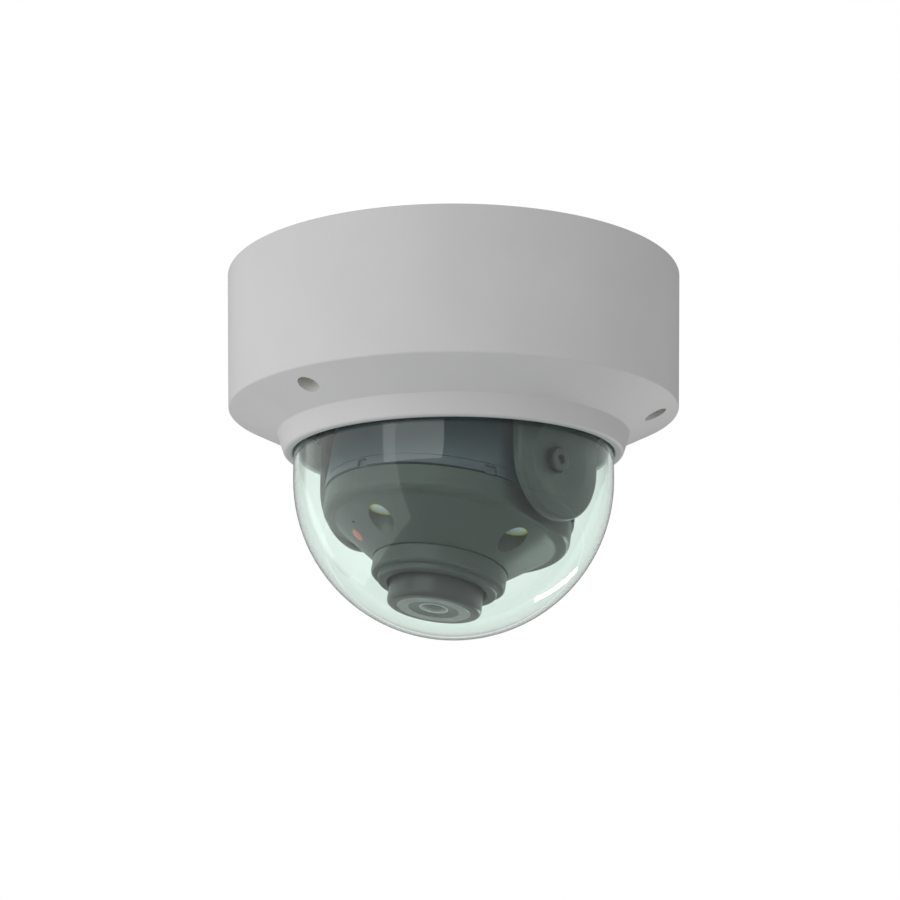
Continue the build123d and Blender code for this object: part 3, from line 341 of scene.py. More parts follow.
def rubber(name, rgb):
    """Seal rubber: matt, with mould dust in its pores."""
    finish = Finish(name)
    pores = finish.cells(0.7 * MM)
    dust = finish.noise(9 * MM, 4.0)
    tone = finish.mix(finish.ramp(dust, (0.4, 0.0), (0.8, 1.0)), opaque(rgb), opaque(rgb, 1.9))
    surface = finish.principled(
        Base_Color=tone, Roughness=0.82 + (dust - 0.5) * 0.15, Normal=finish.bump(pores, 0.05 * MM, 0.6)
    )
    return finish.done(surface)


def circuit_board(name, rgb):
    """Solder mask over copper: pours, track edges and tinned pads."""
    finish = Finish(name)
    squared = {"feature": "DISTANCE_TO_EDGE"}
    sockets = {"Vector": finish.place, "Scale": 1.0 / (4.5 * MM), "Randomness": 0.65}
    edge = finish.node("ShaderNodeTexVoronoi", squared, sockets, "Distance")
    tracks = finish.node(
        "ShaderNodeTexWave",
        {"wave_type": "BANDS", "bands_direction": "DIAGONAL"},
        {"Vector": finish.place, "Scale": 1.0 / (6.0 * MM), "Distortion": 1.5},
        "Fac",
    )
    pads = finish.cells(2.9 * MM) < 0.17
    copper = (edge < 0.05) + (tracks > 0.8) * 0.5
    tone = finish.mix(copper * 0.7, opaque(rgb), opaque(rgb, 2.1))
    tone = finish.mix(pads * 0.85, tone, (0.62, 0.60, 0.50, 1.0))
    surface = finish.principled(
        Base_Color=tone,
        Roughness=0.30 + pads * 0.08,
        Metallic=pads * 0.7,
        Normal=finish.bump(copper + pads, 0.03 * MM, 0.6),
    )
    return finish.done(surface)


def chip_plastic(name, rgb):
    """Epoxy of a moulded component."""
    finish = Finish(name)
    grain = finish.noise(0.25 * MM, 2.0)
    tone = finish.mix(grain, opaque(rgb, 0.8), opaque(rgb, 1.5))
    surface = finish.principled(
        Base_Color=tone, Roughness=0.5 + grain * 0.1, Normal=finish.bump(grain, 0.02 * MM, 0.5)
    )
    return finish.done(surface)


def clear_bubble(name, tint):
    """Moulded polycarbonate with a faint tint. Light for the pieces inside passes straight through."""
    finish = Finish(name)
    haze = finish.noise(26 * MM, 3.0)
    glass = finish.principled(
        Base_Color=finish.mix(haze * 0.10, opaque(tint, 1.03), opaque(tint, 0.95)),
        Roughness=finish.ramp(haze, (0.45, 0.0), (0.9, 0.012)),
        IOR=1.45,
        Transmission_Weight=1.0,
    )
    passing = finish.node("ShaderNodeBsdfTransparent", None, {"Color": opaque(tint, 1.05)})
    shadow = finish.node("ShaderNodeLightPath", output="Is Shadow Ray")
    diffuse = finish.node("ShaderNodeLightPath", output="Is Diffuse Ray")
    seen = finish.node("ShaderNodeMixShader", None, {0: diffuse, 1: glass, 2: passing})
    return finish.done(finish.node("ShaderNodeMixShader", None, {0: shadow, 1: seen, 2: passing}))


def coated_glass(name):
    """Dark lens glass whose coating turns green to violet towards its edge."""
    finish = Finish(name)
    facing = finish.node("ShaderNodeLayerWeight", None, {"Blend": 0.35}, "Facing")
    smear = finish.noise(3 * MM, 2.0)
    tone = finish.mix(facing, (0.012, 0.020, 0.018, 1.0), (0.06, 0.035, 0.085, 1.0))
    surface = finish.principled(
        Base_Color=tone, Roughness=0.03 + smear * 0.03, IOR=1.7, Coat_Weight=1.0, Coat_Roughness=0.02
    )
    return finish.done(surface)


def frosted_window(name, rgb):
    """Pale moulded window with a frosted face."""
    finish = Finish(name)
    frost = finish.noise(0.5 * MM, 2.0)
    tone = finish.mix(frost, opaque(rgb, 0.92), opaque(rgb, 1.06))
    surface = finish.principled(
        Base_Color=tone,
        Roughness=0.28 + frost * 0.12,
        Coat_Weight=0.4,
        Normal=finish.bump(frost, 0.02 * MM, 0.4),
    )
    return finish.done(surface)


FINISHES = {}


def make_finishes(colours):
    """Every finish once, under the name of the record's material slot."""
    FINISHES.update({
        "cover_paint": powder_coat("cover_powder_coat", colours.cover_paint),
        "cast_base": powder_coat("base_powder_coat", colours.cover_paint, 0.6, 1.3 * MM, 0.06 * MM),
        "clear_dome": clear_bubble("clear_polycarbonate", colours.bubble_tint),
        "black_rubber": rubber("seal_rubber", (0.022, 0.022, 0.023)),
        "foam": rubber("foam_seal", (0.045, 0.045, 0.047)),
        "steel": turned_metal("zinc_plated_steel", (0.60, 0.61, 0.62)),
        "yellow_zinc": turned_metal("yellow_passivated_steel", colours.screw_yellow, 0.34),
        "dark_steel": moulded("black_oxide", (0.030, 0.031, 0.032), 0.38),
        "rear_paint": moulded("rear_shell_blue_grey", colours.rear_paint, 0.40),
        "front_plastic": moulded("front_shell_green_grey", colours.front_plastic, 0.46),
        "yoke_plastic": moulded("yoke_green_grey", colours.yoke_plastic, 0.40),
        "acetal": moulded("natural_acetal", (0.66, 0.65, 0.60), 0.42),
        "bronze": turned_metal("sintered_bronze", (0.50, 0.34, 0.15), 0.48),
        "board_green": circuit_board("solder_mask", (0.012, 0.085, 0.030)),
        "board_black": chip_plastic("black_epoxy", (0.014, 0.014, 0.016)),
        "connector_white": moulded("natural_nylon", (0.62, 0.59, 0.50), 0.42),
        "terminal_green": moulded("terminal_green_plastic", (0.03, 0.22, 0.08), 0.42),
        "aluminium_can": turned_metal("drawn_aluminium", (0.74, 0.75, 0.76), 0.26),
        "lamp_white": frosted_window("frosted_lamp_window", colours.lamp_white),
        "lamp_yellow": frosted_window("yellow_silicone", colours.lamp_yellow),
        "status_red": frosted_window("red_status_window", colours.status_red),
        "barrel_black": moulded("barrel_satin_black", colours.barrel_black, 0.36),
        "ring_pale": turned_metal("satin_front_ring", colours.rim_silver, 0.42),
        "ring_green": moulded("cone_ring_green_grey", colours.cone_green, 0.34),
        "ring_white": frosted_window("white_trim", colours.trim_white),
        "coated_glass": coated_glass("coated_lens_glass"),
        "filter_glass": coated_glass("filter_glass"),
    })


# --------------------------------------------------------------------------- mesh work
def rounded(corners):
    """Points of a closed outline from (radius, height, rounding) corners."""
    points = []
    for index, (across, up, rounding) in enumerate(corners):
        here = Vector((across, up))
        before = Vector(corners[index - 1][:2]) - here
        after = Vector(corners[(index + 1) % len(corners)][:2]) - here
        if rounding <= 0:
            points.append(here)
            continue
        opening = before.angle(after)
        reach = min(rounding / math.tan(opening / 2), 0.49 * before.length, 0.49 * after.length)
        radius = reach * math.tan(opening / 2)
        middle = (before.normalized() + after.normalized()).normalized()
        centre = here + middle * (radius / math.sin(opening / 2))
        first = here + before.normalized() * reach - centre
        last = here + after.normalized() * reach - centre
        turn = math.pi - opening
        steps = max(2, math.ceil(turn / ARC_STEP))
        for step in range(steps + 1):
            along = turn * step / steps
            arm = first * math.sin(turn - along) + last * math.sin(along)
            points.append(centre + arm / math.sin(turn))
    return points


def lathe(corners, steps=ROUND_STEPS, shape=None):
    """Closed outline of (radius, height, rounding) corners turned about Z."""
    mesh = bmesh.new()
    points = rounded([tuple(corner) + (0.0,) * (3 - len(corner)) for corner in corners])
    rings = []
    for index in range(steps):
        turn = 2 * math.pi * index / steps
        spots = [Vector((point.x * math.cos(turn), point.x * math.sin(turn), point.y)) for point in points]
        rings.append([mesh.verts.new(shape(spot) if shape else spot) for spot in spots])
    for index in range(steps):
        here, there = rings[index - 1], rings[index]
        for step in range(len(points)):
            after = (step + 1) % len(points)
            mesh.faces.new((here[step], there[step], there[after], here[after]))
    return cleaned(mesh)


def plug(radius, low, high, steps):
    """Plain round plug about Z, to cut or to fill a bore."""
    return lathe([(0.0, low), (radius, low), (radius, high), (0.0, high)], steps)


def cleaned(mesh):
    """Merges what meets, drops what has no area, and turns the faces outward."""
    bmesh.ops.remove_doubles(mesh, verts=mesh.verts, dist=1e-7)
    bmesh.ops.dissolve_degenerate(mesh, edges=mesh.edges, dist=1e-8)
    bmesh.ops.recalc_face_normals(mesh, faces=mesh.faces)
    return mesh


def flattened(limit, softness):
    """Draws points in to two flats at x = ±limit, with a rounded edge where each begins."""
    def move(point):
        beyond = abs(abs(point.x) - limit)
        blend = max(softness - beyond, 0.0) / softness
        reach = min(abs(point.x), limit) - blend * blend * softness / 4
        return Vector((math.copysign(reach, point.x), point.y, point.z))
    return move


def placed_copies(mesh, places):
    """One mesh holding a copy of another at each place."""
    data = bpy.data.meshes.new("copies")
    mesh.to_mesh(data)
    mesh.free()
    together = bmesh.new()
    for place in places:
        copy = data.copy()
        copy.transform(place)
        together.from_mesh(copy)
        bpy.data.meshes.remove(copy)
    bpy.data.meshes.remove(data)
    bmesh.ops.recalc_face_normals(together, faces=together.faces)
    return together


def as_object(name, mesh):
    data = bpy.data.meshes.new(name)
    mesh.to_mesh(data)
    mesh.free()
    thing = bpy.data.objects.new(name, data)
    bpy.context.scene.collection.objects.link(thing)
    return thing


def combined(solid, others, operation):
    """A mesh with others cut from it or joined to it."""
    target = as_object("target", solid)
    tool = as_object("tool", others)
    modifier = target.modifiers.new("combine", "BOOLEAN")
    modifier.operation = operation
    modifier.solver = "EXACT"
    modifier.object = tool
    evaluated = target.evaluated_get(bpy.context.evaluated_depsgraph_get())
    result = bmesh.new()
    result.from_mesh(evaluated.to_mesh())
    evaluated.to_mesh_clear()
    for thing in (target, tool):
        data = thing.data
        bpy.data.objects.remove(thing)
        bpy.data.meshes.remove(data)
    bmesh.ops.dissolve_degenerate(result, edges=result.edges, dist=1e-7)
    return result


def cut(solid, others):
    return combined(solid, others, "DIFFERENCE")


def joined(solid, others):
    return combined(solid, others, "UNION")


def show(name, mesh, slot, body, *nodes, place=UPRIGHT):
    """Makes the shown piece from a mesh, with its finish, its body and the nodes it stands for."""
    mesh.transform(place)
    piece = as_object(name, mesh)
    piece.data.polygons.foreach_set("use_smooth", [True] * len(piece.data.polygons))
    piece.data.set_sharp_from_angle(angle=SHARP_ANGLE)
    piece.data.materials.append(FINISHES[slot])
    even = piece.modifiers.new("even_shading", "WEIGHTED_NORMAL")
    even.keep_sharp = True
    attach(piece, body)
    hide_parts(*nodes)
    return piece


def polar(radius, angle):
    return radius * math.cos(angle), radius * math.sin(angle)


def around(count, start, radius, height=0.0):
    """Places on a circle about Z, each turned to face outward."""
    places = []
    for index in range(count):
        turn = start + 2 * math.pi * index / count
        places.append(Matrix.Rotation(turn, 4, "Z") @ Matrix.Translation((radius, 0, height)))
    return places


def sizes():
    """The two groups of sizes."""
    return bpy.context.scene.housing_sizes, bpy.context.scene.module_sizes


# ----------------------------------------------------------------------- cover pieces
def cover_screw_pitch(housing):
    return COVER_SCREWS.outer - housing.screw_head


def shoulder_height(housing, radius):
    foot = COVER.outer - housing.skirt_draft
    return -housing.skirt_height - (foot - radius) * housing.shoulder_drop / housing.shoulder_width


def screw_seat(housing):
    return shoulder_height(housing, cover_screw_pitch(housing)) + housing.recess_depth


class DOMECAM_OT_cover(bpy.types.Operator):
    """Cast cover: side wall, sloping shoulder, collar, inner ledge and screw recesses"""

    bl_idname = "domecam.cover"
    bl_label = "Cover"

    def execute(self, context):
        housing, _ = sizes()
        top, lip = COVER.high, COVER.low
        foot = COVER.outer - housing.skirt_draft
        neck = foot - housing.shoulder_width
        neck_height = shoulder_height(housing, neck)
        bore = DOME_SPHERE + housing.bubble_gap
        pocket = DOME.outer + housing.bubble_gap
        step = neck_height + housing.wall
        flange_top = DOME.high
        ledge = BASE.low - 1.5 * MM
        ledge_inner = pocket + 14.4 * MM
        slope = 3.1 * MM
        inner = COVER.outer - housing.wall
        inner_ledge = inner + housing.skirt_draft * ledge / housing.skirt_height
        profile = [
            (COVER.outer, top, 0.5 * MM),
            (foot, -housing.skirt_height, housing.edge_round),
            (neck, neck_height, 0.8 * MM),
            (neck - housing.lip_lean, lip, housing.lip_round),
            (bore, lip, housing.bore_round),
            (bore, step, 0.0),
            (pocket, step, 0.0),
            (pocket, flange_top, 0.3 * MM),
            (pocket + 8.0 * MM, flange_top, 0.5 * MM),
            (ledge_inner, shoulder_height(housing, ledge_inner) + slope, 0.8 * MM),
            (ledge_inner, ledge, 0.4 * MM),
            (inner_ledge, ledge, 0.4 * MM),
            (inner, top, 0.4 * MM),
        ]
        body = lathe(profile, 288)
        seat = screw_seat(housing)
        pitch = cover_screw_pitch(housing)
        boss_radius, boss_low = 6.0 * MM, -56.0 * MM
        boss = lathe(
            [(0.0, boss_low), (boss_radius, boss_low), (boss_radius, ledge, 0.5 * MM), (0.0, ledge)], 48
        )
        for vertex in boss.verts:
            if vertex.co.z < ledge - 2 * MM:
                vertex.co.z = shoulder_height(housing, pitch + vertex.co.x) + 1.2 * MM
        spots = around(3, math.radians(-90), pitch)
        body = joined(body, placed_copies(boss, spots))
        shank, keeper = 2.3 * MM, 3.6 * MM
        keeper_low = ledge - 1.2 * MM
        below, above = lip - 5 * MM, ledge + 2 * MM
        drill = lathe([
            (0.0, below), (housing.recess_radius, below), (housing.recess_radius, seat, 0.25 * MM),
            (shank, seat), (shank, keeper_low), (keeper, keeper_low), (keeper, above), (0.0, above),
        ], 64)
        body = cut(body, placed_copies(drill, spots))
        show("cover_casting", body, "cover_paint", "cover", "cover")
        return {"FINISHED"}


class DOMECAM_OT_bubble(bpy.types.Operator):
    """Clear bubble with its straight stretch and clamping flange"""

    bl_idname = "domecam.bubble"
    bl_label = "Clear bubble"

    def execute(self, context):
        housing, _ = sizes()
        outer, inner = DOME_SPHERE, DOME_SPHERE - housing.bubble_wall
        flange_low = DOME.high - 1.6 * MM
        quarter = [math.radians(2.0 * index) for index in range(46)]
        corners = [(outer * math.sin(turn), PIVOT.z - outer * math.cos(turn)) for turn in quarter]
        corners += [(outer, flange_low, 0.4 * MM), (DOME.outer, flange_low, 0.3 * MM)]
        corners += [(DOME.outer, DOME.high, 0.3 * MM), (inner, DOME.high, 0.3 * MM)]
        corners += [(inner * math.sin(turn), PIVOT.z - inner * math.cos(turn)) for turn in reversed(quarter)]
        show("bubble", lathe(corners, 256), "clear_dome", "cover", "dome")
        return {"FINISHED"}


def star_plug(radius, low, high):
    """Six-lobed plug that cuts a screw's socket."""
    mesh = bmesh.new()
    steps = 60
    rings = []
    for height in (low, high):
        ring = []
        for index in range(steps):
            turn = 2 * math.pi * index / steps
            lobe = radius * (1 + 0.16 * math.cos(6 * turn))
            ring.append(mesh.verts.new((lobe * math.cos(turn), lobe * math.sin(turn), height)))
        rings.append(ring)
    for index in range(steps):
        mesh.faces.new((rings[0][index - 1], rings[0][index], rings[1][index], rings[1][index - 1]))
    for ring in rings:
        mesh.faces.new(ring)
    bmesh.ops.recalc_face_normals(mesh, faces=mesh.faces)
    return mesh


def screw_mesh(shank, reach, head, height):
    """Pan-head screw, head down from z = 0, with a six-lobed socket and a pin in its middle."""
    body = lathe([
        (0.0, -height), (head, -height, 0.38 * height), (head, 0.0, 0.1 * MM),
        (shank, 0.0, 0.15 * MM), (shank, reach, 0.5 * MM), (0.0, reach),
    ], SMALL_STEPS)
    body = cut(body, star_plug(0.48 * head, -1.4 * height, -0.42 * height))
    pin_radius, pin_low, pin_high = 0.13 * head, -0.8 * height, -0.3 * height
    pin = lathe(
        [(0.0, pin_low), (pin_radius, pin_low, 0.1 * MM), (pin_radius, pin_high), (0.0, pin_high)], 24
    )
    return joined(body, pin)


class DOMECAM_OT_cover_screws(bpy.types.Operator):
    """Captive screws of the cover, at the bottom of their recesses"""

    bl_idname = "domecam.cover_screws"
    bl_label = "Cover screws"

    def execute(self, context):
        housing, _ = sizes()
        seat = screw_seat(housing)
        shank, head_height = 2.0 * MM, 3.2 * MM
        mesh = screw_mesh(shank, COVER_SCREWS.high - seat, housing.screw_head, head_height)
        places = around(3, math.radians(-90), cover_screw_pitch(housing), seat)
        show("captive_screws", placed_copies(mesh, places), "yellow_zinc", "cover", "cover_screws")
        return {"FINISHED"}


# ------------------------------------------------------------------------ yoke pieces
def arm_outline(half_width, top, inset):
    """Outline of an arm's face in its own plane, with the pivot at the origin."""
    reach = half_width - inset
    bend, rise, across = 44, 14, 18
    turns = [math.pi * step / bend for step in range(bend + 1)]
    points = [Vector((-reach * math.cos(turn), -reach * math.sin(turn))) for turn in turns]
    points += [Vector((reach, top * step / rise)) for step in range(1, rise + 1)]
    points += [Vector((reach - 2 * reach * step / across, top)) for step in range(1, across)]
    points += [Vector((-reach, top * (rise - step) / rise)) for step in range(rise)]
    return points


def arm_mesh(module, side, inner_x, outer_x, top):
    """One arm: rounded outer edges, a dish about the pivot, a flat for the screw, a bore for the bush."""
    half_width, rounding = module.arm_half_width, module.arm_round
    bore = BUSHES.spread + FIT
    flat = PIVOT_BOLTS.spread + 0.5 * MM
    ball = (module.dish_radius ** 2 + module.dish_depth ** 2) / (2 * module.dish_depth)
    bevel = 0.5 * MM
    layers = [(inner_x, arm_outline(half_width, top, bevel))]
    layers.append((inner_x + bevel, arm_outline(half_width, top, 0.0)))
    round_steps, dish_steps = 7, 12
    for step in range(round_steps + 1):
        turn = math.pi / 2 * step / round_steps
        x = outer_x - rounding * (1 - math.sin(turn))
        layers.append((x, arm_outline(half_width, top, rounding * (1 - math.cos(turn)))))
    edge = layers[-1][1]
    circle = [point.normalized() for point in edge]
    for share in (0.35, 0.7, 0.94):
        layers.append((outer_x, [p.lerp(c * module.dish_radius, share) for p, c in zip(edge, circle)]))
    soft = 1.2 * MM
    for step in range(dish_steps + 1):
        radius = module.dish_radius - (module.dish_radius - flat) * step / dish_steps
        depth = max(0.0, module.dish_depth - (ball - math.sqrt(ball ** 2 - radius ** 2)))
        ease = min(1.0, (module.dish_radius - radius) / soft) if step else 0.0
        layers.append((outer_x - depth * ease, [c * radius for c in circle]))
    floor = outer_x - module.dish_depth - module.spot_face
    layers.append((floor, [c * flat for c in circle]))
    layers.append((floor, [c * bore for c in circle]))
    layers.append((inner_x, [c * bore for c in circle]))
    mesh = bmesh.new()
    rings = [[mesh.verts.new((side * x, p.x, PIVOT.z + p.y)) for p in outline] for x, outline in layers]
    count = len(edge)
    for index, here in enumerate(rings):
        there = rings[(index + 1) % len(rings)]
        for step in range(count):
            after = (step + 1) % count
            mesh.faces.new((here[step], here[after], there[after], there[step]))
    return cleaned(mesh)


class DOMECAM_OT_yoke(bpy.types.Operator):
    """Yoke: turning ring with its hub, and two dished arms"""

    bl_idname = "domecam.yoke"
    bl_label = "Yoke"

    def execute(self, context):
        _, module = sizes()
        outer_x = max(point.x for point in YOKE.points if point.z < PIVOT.z)
        inner_x = outer_x - module.arm_thickness
        plate_rise, plate_thickness, hub_wall = 36.6 * MM, 4.0 * MM, 2.95 * MM
        plate_high = PIVOT.z + plate_rise
        plate_low = plate_high - plate_thickness
        bore = YOKE.inner
        hub = bore + hub_wall
        ring = lathe([
            (bore, plate_low, 0.6 * MM), (YOKE.outer, plate_low, 0.8 * MM),
            (YOKE.outer, plate_high, 0.4 * MM), (hub, plate_high, 0.4 * MM),
            (hub, YOKE.high, 0.3 * MM), (bore, YOKE.high, 0.3 * MM),
        ])
        boss_radius, overlap = 8.5 * MM, 0.6 * MM
        bush = BUSHES.spread + FIT
        washer_gap = inner_x - Reach("pivot_washers").side - 0.1 * MM
        for side in (1, -1):
            arm = arm_mesh(module, side, inner_x, outer_x, plate_high - PIVOT.z - 1.2 * MM)
            boss = lathe([
                (bush, 0.0), (boss_radius, 0.0, 0.3 * MM),
                (boss_radius, washer_gap + overlap), (bush, washer_gap + overlap),
            ], 64)
            turn = Matrix.Rotation(math.radians(90 * side), 4, "Y")
            boss.transform(Matrix.Translation((side * (inner_x - washer_gap), 0, PIVOT.z)) @ turn)
            ring = joined(joined(ring, arm), boss)
        show("yoke_frame", ring, "yoke_plastic", "yoke", "yoke")
        return {"FINISHED"}


class DOMECAM_OT_pivot_screws(bpy.types.Operator):
    """Shouldered pivot screws in the dishes of the arms"""

    bl_idname = "domecam.pivot_screws"
    bl_label = "Pivot screws"

    def execute(self, context):
        end = PIVOT_BOLTS.side
        start = min(abs(point.x) for point in PIVOT_BOLTS.points)
        head = PIVOT_BOLTS.spread
        reach = end - start
        head_height, shank = 2.5 * MM, 3.0 * MM
        socket_radius, socket_depth = 2.0 * MM, 1.5 * MM
        seat = reach - head_height
        body = lathe([
            (0.0, 0.0), (shank, 0.0, 0.3 * MM), (shank, seat, 0.1 * MM),
            (head, seat, 0.2 * MM), (head, reach, 0.8 * MM), (0.0, reach),
        ], SMALL_STEPS)
        body = cut(body, plug(socket_radius, reach - socket_depth, end, 6))
        places = []
        for side in (1, -1):
            turn = Matrix.Rotation(math.radians(90 * side), 4, "Y")
            places.append(Matrix.Translation((side * start, 0, PIVOT.z)) @ turn)
        mesh = placed_copies(body, places)
        show("pivot_bolts", mesh, "dark_steel", "module", "pivot_screws")
        return {"FINISHED"}


# ---------------------------------------------------------------------- module shells
class DOMECAM_OT_rear_shell(bpy.types.Operator):
    """Rear shell: domed drum between two flats, with a grooved and notched band at its edge"""

    bl_idname = "domecam.rear_shell"
    bl_label = "Rear shell"

    def execute(self, context):
        _, module = sizes()
        low, top, flat = REAR.low, REAR.high, REAR.side
        radius = max(point.y for point in REAR.points if point.z < low + 1 * MM)
        sweep = math.hypot(radius, low)
        wall = module.shell_wall
        groove = low + module.band_height

        def curve(reach, start, end, steps=14):
            first, last = math.asin(start / reach), math.asin(end / reach)
            turns = [first + (last - first) * step / steps for step in range(steps + 1)]
            return [(reach * math.cos(turn), reach * math.sin(turn)) for turn in turns]

        inner_low = math.sqrt((sweep - wall) ** 2 - (radius - wall) ** 2)
        groove_floor, cable_bore = radius - 0.4 * MM, 9 * MM
        outline = [(radius, low, 0.3 * MM), (radius, groove, 0.1 * MM), (groove_floor, groove + 0.05 * MM)]
        outline += [(groove_floor, groove + module.groove), (radius, groove + module.groove, 0.1 * MM)]
        outline += curve(sweep, -low, top)
        outline += [(cable_bore, top, 0.5 * MM), (cable_bore, top - wall, 0.3 * MM)]
        outline += list(reversed(curve(sweep - wall, inner_low, top - wall)))
        outline += [(radius - wall, low, 0.3 * MM)]

        def shape(point):
            outside = flattened(flat, module.flat_softness)(point)
            inside = flattened(flat - wall, module.flat_softness)(point)
            reach = point.xy.length
            limit = math.sqrt(max(sweep ** 2 - point.z ** 2, 0.0))
            near = min(radius, limit)
            return inside if reach < near - wall / 2 and point.z < top - wall / 2 else outside

        body = lathe(outline, ROUND_STEPS, shape)
        width = module.notch_width / 2
        notch = bmesh.new()
        bmesh.ops.create_cube(notch, size=1.0)
        notch_depth, notch_ramp = 1.2 * MM, 1.6 * MM
        for vertex in notch.verts:
            side = math.copysign(1, vertex.co.y)
            ramp = notch_ramp if side > 0 and vertex.co.z > 0 else 0.0
            height = groove - 0.2 * MM if vertex.co.z > 0 else low - 2 * MM
            vertex.co = Vector((math.copysign(notch_depth, vertex.co.x), side * width - ramp, height))
        body = cut(body, placed_copies(notch, around(6, math.radians(30), radius)))
        show("rear_housing", body, "rear_paint", "module", "rear_shell", place=MODULE)
        return {"FINISHED"}


FACE_SLOPE = math.radians(36.6)
FACE_TANGENT = math.tan(FACE_SLOPE)
FACE_TOP = -22.8 * MM
FRONT_TOP = -13.7 * MM
FRONT_RADIUS = max(point.y for point in FRONT.points if -20 * MM < point.z < -15 * MM)
LAMP_PITCH = WINDOWS.outer - WINDOW_RADIUS
STATUS_SPOT = (-18.8 * MM, -26.2 * MM)
STATUS_RADIUS = 2.8 * MM
MICROPHONE_SPOT = (-15.9 * MM, -32.0 * MM)
MICROPHONE_RADIUS = 0.6 * MM


def face_height(module, radius):
    """Height of the front shell's conical face at a radius."""
    rim = FRONT_RADIUS - module.rim_width
    return FACE_TOP - (rim - radius) * FACE_TANGENT


def on_face(module, spot):
    """Place on the conical face, square to it, with Z pointing into the shell."""
    radius, turn = math.hypot(*spot), math.atan2(spot[1], spot[0])
    out = Matrix.Translation((radius, 0, face_height(module, radius)))
    return Matrix.Rotation(turn, 4, "Z") @ out @ Matrix.Rotation(-FACE_SLOPE, 4, "Y")


class DOMECAM_OT_front_shell(bpy.types.Operator):
    """Front shell: rounded rim, conical face, lamp pockets, status and microphone holes"""

    bl_idname = "domecam.front_shell"
    bl_label = "Front shell"

    def execute(self, context):
        _, module = sizes()
        wall = module.shell_wall
        rim = FRONT_RADIUS - module.rim_width
        bore = COLLAR.outer - 0.6 * MM
        neck = COLLAR.outer + 0.3 * MM
        sleeve = bore + 2.0 * MM
        sleeve_top = face_height(module, COLLAR.outer) + 8.0 * MM
        flat = FRONT.side
        outline = [
            (FRONT_RADIUS, FRONT_TOP, 0.3 * MM),
            (FRONT_RADIUS - 0.2 * MM, FACE_TOP + 0.6 * MM, 3.4 * MM),
            (rim, FACE_TOP, 3.0 * MM),
            (neck, face_height(module, neck), 0.4 * MM),
            (bore, face_height(module, neck), 0.3 * MM),
            (bore, sleeve_top, 0.2 * MM),
            (sleeve, sleeve_top, 0.2 * MM),
            (sleeve, face_height(module, sleeve) + 2.6 * MM),
            (rim - 1.2 * MM, FACE_TOP + wall, 1.0 * MM),
            (FRONT_RADIUS - wall, -18.8 * MM, 1.0 * MM),
            (FRONT_RADIUS - wall, FRONT_TOP, 0.2 * MM),
        ]

        def shape(point):
            inside = point.xy.length < FRONT_RADIUS - wall / 2 and point.z > FACE_TOP + wall / 2
            return flattened(flat - wall if inside else flat, module.flat_softness)(point)

        body = lathe(outline, ROUND_STEPS, shape)
        cup_top = WINDOWS.high + 1.2 * MM
        cup_low = face_height(module, LAMP_PITCH) + 0.2 * MM
        cup_radius, cup_foot = 6.3 * MM, -40 * MM
        cup = lathe([
            (0.0, cup_foot), (cup_radius, cup_foot), (cup_radius, cup_top, 0.3 * MM), (0.0, cup_top),
        ], 64)
        for vertex in cup.verts:
            if vertex.co.z < cup_low - 4 * MM:
                vertex.co.z = face_height(module, LAMP_PITCH + vertex.co.x) + 0.9 * MM
        spots = around(4, 0.0, LAMP_PITCH)
        body = joined(body, placed_copies(cup, spots))
        below, sight = -60 * MM, 3.8 * MM
        pocket = lathe([
            (0.0, below), (module.pocket_radius, below), (module.pocket_radius, WINDOWS.high),
            (sight, WINDOWS.high), (sight, 0.0), (0.0, 0.0),
        ], 72)
        body = cut(body, placed_copies(pocket, spots))
        through = 4 * MM
        status = plug(STATUS_RADIUS + FIT, -through, through, 48)
        status.transform(on_face(module, STATUS_SPOT))
        body = cut(body, status)
        sound = plug(MICROPHONE_RADIUS, -through, through, 24)
        sound.transform(on_face(module, MICROPHONE_SPOT))
        body = cut(body, sound)
        show("front_housing", body, "front_plastic", "module", "front_shell", place=MODULE)
        return {"FINISHED"}


class DOMECAM_OT_lamps(bpy.types.Operator):
    """Lamp windows with their yellow seals, and the red status window"""

    bl_idname = "domecam.lamps"
    bl_label = "Lamp and status windows"

    def execute(self, context):
        _, module = sizes()
        low, high = WINDOWS.low, WINDOWS.high
        edge = module.window_radius - 0.01 * MM
        lens = [(0.0, low), (module.window_radius * 0.5, low + 0.02 * MM)]
        lens += [(edge, low + 0.15 * MM, 0.3 * MM), (edge, high), (0.0, high)]
        spots = around(4, 0.0, LAMP_PITCH)
        windows = placed_copies(lathe(lens, SMALL_STEPS), spots)
        show("lamp_lenses", windows, "lamp_white", "module", "lamp_windows", place=MODULE)
        inner, outer = module.window_radius + FIT, module.pocket_radius - 0.03 * MM
        seal_low = low + 0.05 * MM
        seal = lathe([
            (inner, seal_low, 0.25 * MM), (outer, seal_low, 0.25 * MM), (outer, high), (inner, high),
        ], SMALL_STEPS)
        show("lamp_gaskets", placed_copies(seal, spots), "lamp_yellow", "module", "lamp_seals", place=MODULE)
        rim, back = STATUS_RADIUS - FIT, 1.8 * MM
        disc = lathe([
            (0.0, -0.14 * MM), (1.6 * MM, -0.12 * MM), (rim, 0.0, 0.2 * MM),
            (rim, back, 0.1 * MM), (0.0, back),
        ], 48)
        place = MODULE @ on_face(module, STATUS_SPOT)
        show("status_lens", disc, "status_red", "module", "status_window", place=place)
        return {"FINISHED"}


